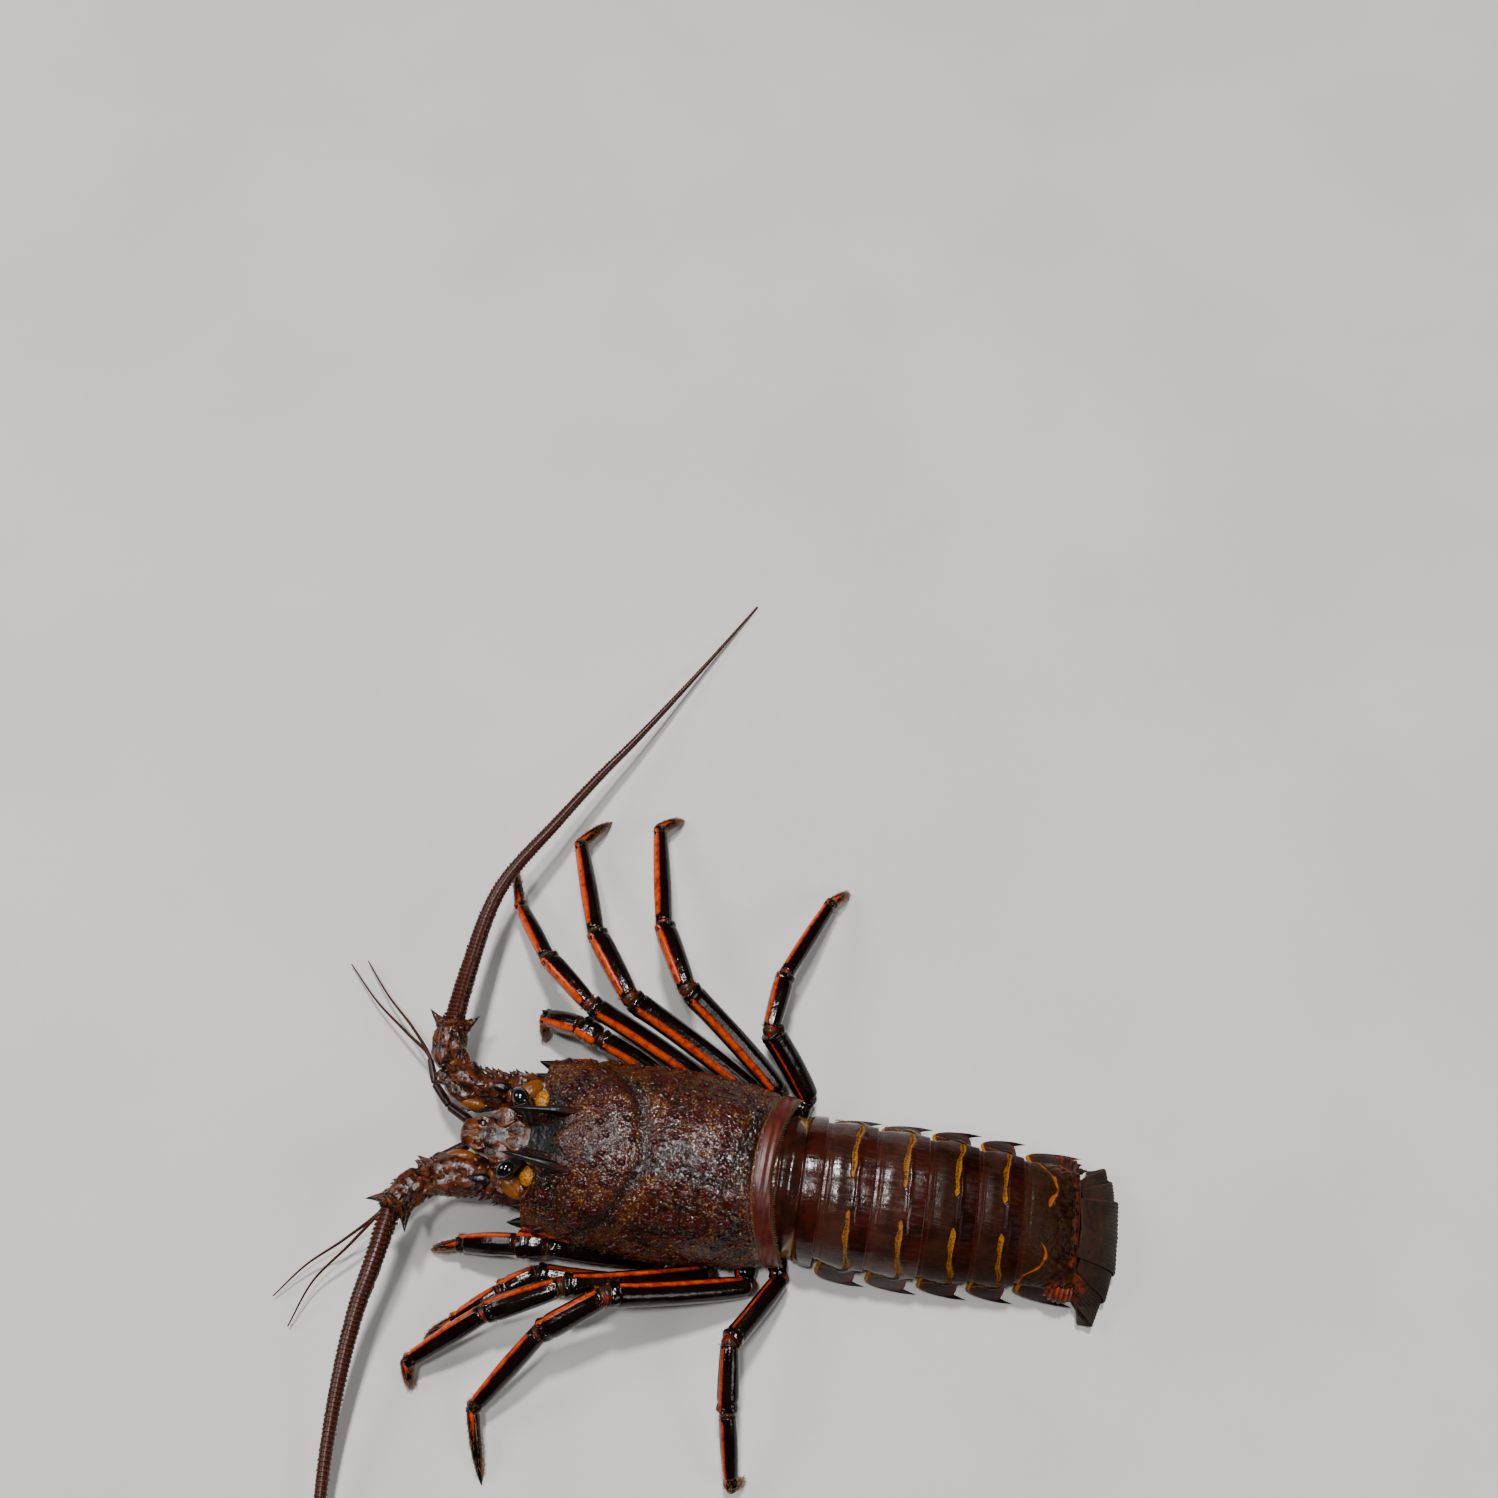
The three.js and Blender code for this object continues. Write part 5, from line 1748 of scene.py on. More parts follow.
@dataclass
class Feelers:
    """The two great feelers, of three spiny lengths and a ringed whip each, and the two fine inner pairs."""

    joints: dict[Side, Stations] = field(
        default_factory=lambda: {
            Side.LEFT: (
                (18.5, -48, 28), (18, -66, 31.5), (18.5, -82, 33.5), (23.5, -95, 35), (37.5, -103.5, 37.5)
            ),
            Side.RIGHT: (
                (-20, -48, 28), (-19, -66, 31.5), (-18.5, -81, 33.5), (-27.5, -94, 35), (-46.5, -95, 37.5)
            ),
        }
    )
    lengths: tuple[Length, ...] = (
        Length(
            "base", ((0, 9.6, 9.6), (0.4, 9.1, 9.1), (0.85, 8.1, 8.2), (1, 6.6, 6.8)), 1.0,
            ((0, 7.6, 8.0, ((0.62, 165, 3.6), (0.8, 120, 3.2), (0.9, 195, 3.4))),),
        ),
        Length(
            "middle", ((0, 6, 6), (0.16, 8.0, 7.5), (0.52, 8.8, 7.8), (0.85, 7.6, 7.0), (1, 6, 6)), 1.1,
            (
                (1, 7.4, 7.4, ((0.45, 150, 4), (0.7, 95, 3.6), (0.85, 175, 4.4), (0.6, 20, 3))),
                (2, 7.0, 6.6, ((0.35, 140, 4), (0.75, 100, 4.6), (0.7, 175, 4.4), (0.78, 40, 3.4))),
            ),
        ),
        Length(
            "end", ((0, 5, 5), (0.25, 6.9, 6.7), (0.75, 6.5, 6.5), (1, 5.2, 5.2)), 0.9,
            (
                (3, 5.9, 5.9,
                 ((0.3, 150, 3.4), (0.5, 80, 3.2), (0.88, 175, 6.6), (0.88, 60, 4.6), (0.84, 0, 6.2))),
            ),
        ),
    )
    whips: dict[Side, Stations] = field(
        default_factory=lambda: {
            Side.LEFT: (
                (35, -103.2, 38), (56, -106, 34), (77, -110, 28), (104, -112, 21),
                (141, -111, 13), (190, -104, 6), (240, -92, 2.2), (300, -76, 0.5),
            ),
            Side.RIGHT: (
                (-43.9, -95.1, 37.8), (-68, -94.5, 35), (-110, -90, 29.5), (-150, -71, 23),
                (-177, -57, 18.5), (-202, -43, 13.5), (-246, -20, 5.5), (-292, 4, 0.5),
            ),
        }
    )
    stems: dict[Side, Stations] = field(
        default_factory=lambda: {
            Side.LEFT: ((4.5, -79, 27), (12, -92, 23), (24, -103, 21), (36, -111, 20)),
            Side.RIGHT: ((-4.5, -79, 27), (-11, -92, 23), (-20, -101, 21), (-31, -106, 20)),
        }
    )
    threads: dict[Side, tuple[Stations, Stations]] = field(
        default_factory=lambda: {
            Side.LEFT: (
                ((52, -123, 15), (68, -136, 9), (87, -143.5, 3)),
                ((50, -126, 14), (62, -141, 8), (76, -153, 3)),
            ),
            Side.RIGHT: (
                ((-44, -118, 15), (-58, -134, 9), (-74.5, -149.5, 3)),
                ((-42, -121, 14), (-55, -139, 8), (-72, -157, 3)),
            ),
        }
    )
    root: float = 4.5
    tip: float = 0.5
    split: float = 0.47
    overlap: float = 0.004
    ring_pitch: float = 1.9
    thread_pitch: float = 0.9
    knob_count: int = 60

    def thick(self, knots: Array, swell: Stations, lobes: float, rng: np.random.Generator) -> Skin:
        """One thick length: a swollen tube with lengthwise ridges and lobes at its far end.

        Args:
            knots: Points that its axis runs through.
            swell: Fraction of the length, half width and half height.
            lobes: Height of the lobes.
            rng: The seeded draws.

        Returns:
            The surface.
        """
        rows, sides = 120, 72
        f = np.linspace(0, 1, rows)
        path = through(knots, f)
        table = np.array(swell)
        wide, high = along(table[:, :2], f), along(table[:, (0, 2)], f)
        length = float(distances(path)[-1])
        end = dome(f * length, length, 2.2, 2.6)
        form = sweep(path, wide * end + THIN, high * end + THIN, sides, 0.88)
        turn = np.arctan2(form.top, form.side)
        ridges = 0.34 * np.sin(turn * 6 + rng.uniform(0, 6)) + 0.25 * np.sin(turn * 3 + f[:, None] * 9)
        knobs = np.zeros_like(turn)
        spots = [rng.uniform(*reach, self.knob_count) for reach in ((0.05, 0.95), (-3.14, 3.14), (0.6, 1.7))]
        for middle, around, size in zip(*spots):
            off = np.angle(np.exp(1j * (turn - around))) * wide.mean()
            ahead = (f[:, None] - middle) * length
            knobs = np.maximum(knobs, size * 0.6 * np.exp(-((ahead / 1.3) ** 2 + off**2) / size**2))
        flare = np.sin(turn * 5 + 1)
        f = f[:, None]
        collar = lobes * bell(f, 0.91, 0.06) * (0.4 + 0.6 * flare) - 0.7 * bell(f, 0.79, 0.03)
        lobe = 0.6 * bell(f, 0.93, 0.06) * step(-0.2, 0.7, flare)
        return tube(form.lifted((ridges + knobs + collar) * end[:, None]), {"lobe": lobe})

    def spines(self, start: Array, end: Array, radius: float, places: Stations, side: Side) -> Skin:
        """Curved spines of one length, where the solids have them.

        Args:
            start: Joint at the length's root.
            end: Joint at its end.
            radius: Distance of the roots from the axis.
            places: Fraction, angle and height of each.
            side: The side of the animal.

        Returns:
            The surface.
        """
        table = np.array(places, float)
        angle = 180 - table[:, 1] if side is Side.LEFT else table[:, 1]
        spots, out = limb_spots(start, end, table[:, 0], angle, radius)
        heading = out + unit(end - start) * 0.75
        hook = unit(end - start) * 0.18
        return spikes(spots, heading, table[:, 2], 0.5 + 0.27 * table[:, 2], 14, 10, hook, 1.6)

    def extra(self, start: Array, end: Array, radius: float, side: Side, rng: np.random.Generator) -> Skin:
        """Smaller spinules between the main ones.

        Args:
            start: Joint at the length's root.
            end: Joint at its end.
            radius: Distance of the roots from the axis.
            side: The side of the animal.
            rng: The seeded draws.

        Returns:
            The surface.
        """
        f = np.linspace(0.12, 0.94, 6)
        rows = [
            np.stack([f + rng.normal(0, 0.03, 6), a + rng.normal(0, 7, 6), rng.uniform(1.5, 3.2, 6)], -1)
            for a in (10, 45, 80, 120, 160)
        ]
        return self.spines(start, end, radius, np.concatenate(rows), side)

    def lobe(self, side: Side) -> Skin:
        """The smooth orange lobe on the inner side of the second length, and the black scale over the first.

        Args:
            side: The side of the animal.

        Returns:
            The surface.
        """
        x = side.value
        lobe = egg(vec(x * 10.6, -73.0, 37), vec(x * 11.8, -86.0, 36), 2.9, 3.4, 32, 0.5)
        scale = egg(vec(x * 19.4, -61.5, 38.4), vec(x * 19.6, -73.5, 40.2), 2.3, 1.5, 28, 0.8)
        skins = [tube(lobe.rings, {"lobe": 0.9, "soft": 1.0}), tube(scale.rings, {"tip": 1.0, "soft": 1.0})]
        return join(skins)

    def whip(self, side: Side, first: float, last: float, rng: np.random.Generator) -> Skin:
        """A stretch of the whip: fine rings, saw teeth that rise toward the tip, and rows of spinules.

        Args:
            side: The side of the animal.
            first: Fraction of the whip where it starts.
            last: Fraction where it ends.
            rng: The seeded draws.

        Returns:
            The surface.
        """
        rows, sides = 900, 14
        f = np.linspace(max(first - self.overlap, 0.0), last, rows)
        path = through(self.whips[side], f)
        radius = self.root + (self.tip - self.root) * f**0.85
        form = sweep(path, radius, radius, sides)
        saw = ((form.run / self.ring_pitch) % 1)[:, None]
        lift = (saw - 0.7) * 0.2 * radius[:, None] * np.ones((1, sides))
        grow = dome(form.run, form.length, 1.5 if first == 0 else 0.25, 0.25 if last < 1 else 0.6)
        rings = path[:, None] + (form.lifted(lift) - path[:, None]) * np.maximum(grow, 0.02)[:, None, None]
        rings[..., 2] = np.maximum(rings[..., 2], CLEAR)
        body = tube(rings, {"ring": saw**2})
        whorls = int(form.length / self.ring_pitch)
        place = (np.arange(whorls) + 0.5) / whorls
        at = np.repeat(np.interp(place, np.linspace(0, 1, rows), np.arange(rows)).astype(int), 4)
        turn = np.tile(np.arange(4) * np.pi / 2, whorls) + np.pi / 4 + rng.normal(0, 0.12, whorls * 4)
        heading = unit(np.gradient(path, axis=0))[at]
        out = ray(heading, turn)
        roots = path[at] + out * radius[at][:, None]
        teeth = spikes(roots, out + heading * 1.1, radius[at] * 0.3, radius[at] * 0.11, 4, 3, None, 0.2)
        return join([body, teeth])

    def inner(self, side: Side) -> Skin:
        """An inner feeler: a jointed stem of three lengths and two ringed threads.

        Args:
            side: The side of the animal.

        Returns:
            The surface.
        """
        stem = np.array(self.stems[side], float)
        parts = []
        for k, (start, end) in enumerate(((2.4, 2.0), (1.9, 1.7), (1.8, 1.3))):
            f = np.linspace(0, 1, 40)
            length = float(np.linalg.norm(stem[k + 1] - stem[k]))
            radius = (start + (end - start) * f) * (1 - 0.14 * bell(f, 0.12, 0.1))
            radius = radius * dome(f * length, length, 1, 1) + THIN
            parts.append(tube(sweep(straight(stem[k], stem[k + 1], 40), radius, radius, 20).rings))
        for thread in self.threads[side]:
            f = np.linspace(0, 1, 420)
            form = sweep(through(np.vstack([stem[2:], thread]), f), 0.95 - 0.65 * f, 0.95 - 0.65 * f, 8)
            saw = ((form.run / self.thread_pitch) % 1)[:, None]
            lift = (saw - 0.5) * 0.12 * (1 - 0.6 * f)[:, None] * np.ones((1, 8))
            parts.append(tube(form.lifted(lift), {"ring": saw**2}))
        return join(parts)

    def build(self, shop: Workshop) -> None:
        """Makes both feelers of each side.

        Args:
            shop: The workshop that takes the pieces.
        """
        rng = np.random.default_rng(SEED + 2)
        for side in Side:
            word = side.word
            j = np.array(self.joints[side], float)
            axes = (
                (j[0], (j[0] + j[1]) / 2, j[1], j[1] + (j[2] - j[1]) * 0.12),
                (j[1], j[2], j[3]),
                (j[3] + (j[2] - j[3]) * 0.2, j[3] + (j[4] - j[3]) * 0.2, j[4]),
            )
            for length, axis in zip(self.lengths, axes):
                parts = [self.thick(np.array(axis), length.swell, length.lobes, rng)]
                spans = length.spans
                parts += [self.spines(j[k], j[k + 1], off, places, side) for k, off, _, places in spans]
                parts += [self.extra(j[k], j[k + 1], off, side, rng) for k, _, off, _ in spans]
                if length.name == "middle":
                    parts.append(self.lobe(side))
                node = f"antenna_{word}_{length.name}"
                shop.piece(f"feeler_{word}_{length.name}", join(parts), Finish.FEELER, node)
            for label, first, last in (("inner", 0.0, self.split), ("outer", self.split, 1.0)):
                skin = self.whip(side, first, last, rng)
                shop.piece(f"whip_{word}_{label}", skin, Finish.WHIP, f"antenna_{word}_whip_{label}")
            shop.piece(f"inner_feeler_{word}", self.inner(side), Finish.WHIP, f"antennule_{word}")


# Abdomen


@dataclass
class Abdomen:
    """The six rings of the tail: overlapping plates with bristly grooves, side flaps and swimmerets."""

    bounds: tuple[float, ...] = (53, 74, 95.6, 118, 139.5, 159, 184)
    back: Stations = ((52, 47.5), (74, 46), (96, 44.5), (118, 42), (140, 39.5), (159, 36.5), (184, 28))
    flank: Stations = ((52, 30), (74, 31.5), (96, 32), (118, 31.5), (140, 30), (159, 28.5), (184, 25))
    roll: Stations = ((50, 0), (96, 7), (150, 7), (186, 3), (200, 0))
    last_groove: Stations = (
        (-1.5, 0.06), (-1.2, 0.17), (-0.8, 0.49), (-0.52, 0.56), (-0.28, 0.44), (0, 0.36), (0.21, 0.32),
        (0.31, 0.39), (0.5, 0.44), (0.66, 0.34), (0.88, 0.12), (1.1, 0.04), (1.5, 0.02),
    )
    tucked: tuple[float, ...] = (0, 3.4, 2.8, 1.2, 0.4, 0)
    # For each ring: how satin the plate is, and how much painted sheen its streaks carry.
    worn: tuple[float, ...] = (0.1, 0.25, 0.4, 0.7, 0.8, 0.9)
    roll_axis: float = 12.0
    arch_foot: float = 14.0
    belly: float = 9.0
    gap: float = 0.15
    dent_count: int = 26
    hair_count: int = 420

    def rolled(self, points: Array) -> Array:
        """Turns points about the tail's own axis: none at the carapace, most along the middle rings.

        Args:
            points: Any array of points.

        Returns:
            The turned points.
        """
        turn = np.radians(along(self.roll, points[..., 1]))
        x, z = points[..., 0], points[..., 2] - self.roll_axis
        across = x * np.cos(turn) + z * np.sin(turn)
        return np.stack([across, points[..., 1], self.roll_axis - x * np.sin(turn) + z * np.cos(turn)], -1)

    def section(self, y: Array, scale: Array, angle: Array, lift: Array | float = 0.0) -> Array:
        """Points of the arched back.

        The half width goes with the sine of the angle and the height with its cosine. Each has a power a
        little under one, which makes the arch fuller than an oval.

        Args:
            y: Place along the tail.
            scale: Factor of the width and height.
            angle: From minus to plus a quarter turn over the back.
            lift: Height above the smooth back.

        Returns:
            The points, before the roll.
        """
        wide = along(self.flank, y) * scale + lift
        high = (along(self.back, y) - self.arch_foot) * scale + lift
        x = np.sign(angle) * wide * np.abs(np.sin(angle)) ** 0.9
        return np.stack([x, y, self.arch_foot + high * np.abs(np.cos(angle)) ** 0.86], -1)

    def groove_place(self, index: int, angle: Array) -> Array:
        """Fraction of the ring's length where its groove runs: across the middle, forward at the sides."""
        a = np.abs(angle)
        return 0.55 + 0.1 * step(0.55, 1.1, a) - 0.47 * step(1.17, 1.5, a) + 0.008 * np.sin(a * 19 + index)

    def ring(self, index: int) -> Skin:
        """One ring: its plate, closed over a flat belly.

        Args:
            index: 0 for the ring next to the carapace.

        Returns:
            The surface.
        """
        rng = np.random.default_rng(SEED + 30 + index)
        rows, columns, under = 96, 250, 24
        tuck = 5.0 if index == 0 else 2.6
        front, rear = self.bounds[index] - tuck, self.bounds[index + 1] - self.gap
        length = rear - front
        turns = np.linspace(-np.pi / 2, np.pi / 2, columns)
        f, angle = np.meshgrid(np.linspace(0, 1, rows), turns, indexing="ij")
        a = np.abs(angle)
        y = front + length * f
        own = (y - self.bounds[index]) / (self.bounds[index + 1] - self.bounds[index])
        scale = along(((0, 0.945), (0.1, 0.968), (0.3, 0.985), (0.7, 0.998), (0.97, 1.004), (1, 0.996)), f)
        lift = -0.3 * bell(own, 0.1, 0.03) + 0.3 * bell(own, 0.3, 0.12) - 0.9 * step(0.985, 1.0, f)
        groove = membrane = rust = np.zeros_like(f)
        for _ in range(self.dent_count):
            spot = rng.uniform((-1.5, 0.05), (1.5, 0.95))
            width = rng.uniform(0.05, 0.2)
            dent = rng.uniform(-0.22, 0.22) * bell(angle, spot[0], width)
            lift = lift + dent * bell(own, spot[1], width * 1.2)
        if index == 0:
            lift = lift - 0.9 * step(0.6, 0.53, own) - 0.4 * bell(own, 0.56, 0.025)
            lift = lift + 0.5 * bell(own, 0.36, 0.1)
            membrane = step(0.04, -0.04, np.abs(own - 0.62 + 0.1 * a) - 0.3 * (a - 0.72)) * 0.9
            lift = lift - 0.7 * membrane
        elif index < 5:
            half = 0.045 + 0.012 * np.sin(angle * 13 + index) + rng.normal(0, 0.004, columns)[None]
            groove = step(1.25, 0.75, np.abs(own - self.groove_place(index, angle)) / half)
            groove = groove * step(0.17, 0.23, a + 0.02 * np.sin(own * 60))
            lift = lift - 0.9 * groove + 0.35 * bell(own, self.groove_place(index, angle) + 0.1, 0.04)
        else:
            wave = along(self.last_groove, angle) + 0.012 * np.sin(angle * 21)
            dashes = 0.5 + 0.5 * step(-0.7, 0.3, np.sin(angle * 17 + 1))
            broken = (0.25 + 0.75 * step(0.14, 0.3, a)) * dashes
            groove = bell(own, wave, 0.034 + 0.012 * np.sin(angle * 13)) * broken * 0.9
            crumple = np.sin(own * 31 + 3 * np.sin(angle * 6)) * np.sin(angle * 23 + 5 * own)
            lift = lift - 0.6 * groove + 0.28 * crumple * step(0.25, 0.5, own)
            rust = step(0.9, 1.2, a) * step(0.4, 0.6, own) * 0.7
            rust = rust + 0.45 * bell(own, 0.9, 0.04) * step(0.9, 0.5, a)
            lift = lift - 0.8 * bell(own, 0.86, 0.02) * step(1.3, 0.9, a)
        scallop = step(1.1, 1.45, a) * (1 - bell(own, 0.6, 0.26)) if index else 0 * a
        lift = lift + rng.normal(0, 0.01, lift.shape) - 3.2 * scallop
        arch = self.section(y, scale, angle, lift)
        arch[..., 2] = np.maximum(arch[..., 2], self.belly + 0.4)
        s = np.linspace(0, 1, under + 2)[1:-1][None, :]
        wide = along(self.flank, y[:, :1]) * scale[:, :1] * 0.86
        x = wide * np.cos(np.pi * s)
        z = self.belly - 0.8 * np.sin(np.pi * s) + 0.35 * np.cos(f[:, :1] * 2 * np.pi * 2)
        floor = np.stack([x, np.broadcast_to(y[:, :1], x.shape), z], -1)
        rings = self.rolled(np.concatenate([arch, floor], 1))
        values = {
            "groove": groove,
            # The front band, partly the plate's own tone and partly painted satin sheen.
            "fore": step(0.62, 0.5, own) * (0.9 if index else 0.3) * step(1.5, 1.2, a),
            "edge": np.clip(step(0.955, 0.985, f) + bell(own, 0.06, 0.015), 0, 1) * 0.8,
            "membrane": membrane,
            "worn": np.full_like(f, self.worn[index]),
            "rough": np.full_like(f, 1.0 if index == 5 else 0.0),
            "rust": rust,
            # The ring's lowest sides take half of the flaps' painted shade and added roughness.
            "flap": step(1.25, 1.5, a) * 0.5,
            "belly": np.zeros_like(f),
        }
        full = padded(values, 0, under)
        full["belly"][:, columns:] = 1.0
        return tube(rings, full)

    def groove_hairs(self, index: int) -> Skin:
        """Short ochre bristles that line a ring's groove and lean back across it.

        Args:
            index: The ring.

        Returns:
            The surface.
        """
        rng = np.random.default_rng(SEED + 40 + index)
        count = self.hair_count
        angle = rng.uniform(0.28, 1.5, count) * rng.choice([-1.0, 1.0], count)
        own = self.groove_place(index, angle) - 0.04 + rng.normal(0, 0.008, count)
        run = self.bounds[index + 1] - self.bounds[index]
        y = self.bounds[index] + own * run
        roots = self.rolled(self.section(y, np.full(count, 0.985), angle, -0.35))
        out = self.rolled(self.section(y, np.full(count, 1.2), angle)) - roots
        heading = unit(out) * 0.45 + vec(0, 1, 0) + rng.normal(0, 0.2, (count, 3))
        return bristles(roots, heading, rng.uniform(0.9, 1.5, count), 0.11, 0.0).with_values(groove=1.0)

    def flap(self, index: int, side: int) -> Skin:
        """A side flap: a curved blade that hangs from the ring and ends in a black spine pointing back.

        Args:
            index: The ring.
            side: 1 for left and -1 for right.

        Returns:
            The surface.
        """
        front, rear = self.bounds[index], self.bounds[index + 1]
        run = rear - front
        wide = float(along(self.flank, (front + rear) / 2)) - (self.tucked[index] if side < 0 else 0.0)
        t = np.linspace(0, 1, 60)
        x = along(((0, wide - 4.6), (0.25, wide), (0.5, wide + 2.4), (0.78, wide + 3.6), (1, wide + 4.2)), t)
        sweepback = ((0, 0.5 * run), (0.3, 0.47 * run), (0.55, 0.56 * run), (0.8, 0.82 * run), (1, run + 2.4))
        y = along(sweepback, t) + front
        z = along(((0, 21), (0.3, 13), (0.55, 8.6), (0.8, 7), (1, 6.6)), t)
        long = along(((0, 0.36), (0.3, 0.4), (0.55, 0.3), (0.8, 0.13), (1, 0.003)), t) * run
        thick = along(((0, 1.8), (0.3, 1.5), (0.55, 1.2), (0.8, 0.85), (1, 0.05)), t)
        turn = 2 * np.pi * np.arange(40) / 40
        reach = long[:, None] * np.cos(turn)
        lean = along(((0, 0), (0.5, 0.15), (1, 0.3)), t)[:, None]
        px = x[:, None] + thick[:, None] * np.sin(turn)
        rim = bell(np.abs(np.cos(turn)), 1, 0.25)[None]
        t = t[:, None]
        points = np.stack([side * px, y[:, None] + reach, z[:, None] - lean * reach], -1)
        values = {
            # The whole flap takes the painted shade and added roughness.
            "flap": 1.0,
            "groove": bell(np.cos(turn), -0.93, 0.1)[None] * step(0.7, 0.5, t) * 0.8,
            "edge": rim,
            "tip": step(0.76, 0.88, t),
            "rust": rim * step(0.05, 0.3, t),
            # The flap's satin and its painted sheen streaks.
            "worn": 0.15,
        }
        return tube(self.rolled(points), values)

    def swimmeret(self, index: int, side: int) -> Skin:
        """A swimmeret: a soft leaf hanging under the ring, lying back, with fine ribs along it.

        Args:
            index: The ring.
            side: 1 for left and -1 for right.

        Returns:
            The surface.
        """
        y = self.bounds[index] * 0.65 + self.bounds[index + 1] * 0.35
        t = np.linspace(0, 1, 30)
        wide = along(((0, 3.2), (0.3, 5.6), (0.65, 4.6), (1, 0.1)), t)
        back, z = t * 13, along(((0, 11), (0.35, 6.8), (0.7, 5), (1, 4.2)), t)
        u = np.linspace(-1, 1, 22)[None]
        x = 14 + 1.5 * t[:, None] + wide[:, None] * u
        rib = 0.12 * np.cos(u * 14) + 0.35 * (1 - u**2)
        grid = np.stack([side * x, y + back[:, None] + 0 * x, z[:, None] + rib], -1)
        under = grid - np.array([0, 0.2, 0.9])
        return leaf(self.rolled(grid), self.rolled(under), {"belly": 1.0})

    def build(self, shop: Workshop) -> None:
        """Makes the six rings.

        Args:
            shop: The workshop that takes the pieces.
        """
        for index in range(6):
            parts = [self.ring(index)]
            if index > 0:
                parts += [self.flap(index, side) for side in (1, -1)]
            if 0 < index < 5:
                parts.append(self.groove_hairs(index))
                parts += [self.swimmeret(index, side) for side in (1, -1)]
            finish = Finish.TAIL if index < 3 else Finish.TAIL_DULL
            shop.piece(f"tail_ring_{index + 1}", join(parts), finish, f"abdomen_{index + 1}")


# Tail fan


@dataclass(frozen=True)
class Blade:
    """One blade of the fan: root on the fan's surface, length, half widths, turn outward and layer depth."""

    root: tuple[float, float]
    long: float
    wide: Stations
    turn: float
    depth: float
    hard: float = 0.06


INNER_WIDE: Stations = ((0, 4.5), (0.3, 8.5), (0.7, 11.2), (1, 8))
OUTER_WIDE: Stations = ((0, 4.5), (0.3, 9.3), (0.7, 12), (1, 9))


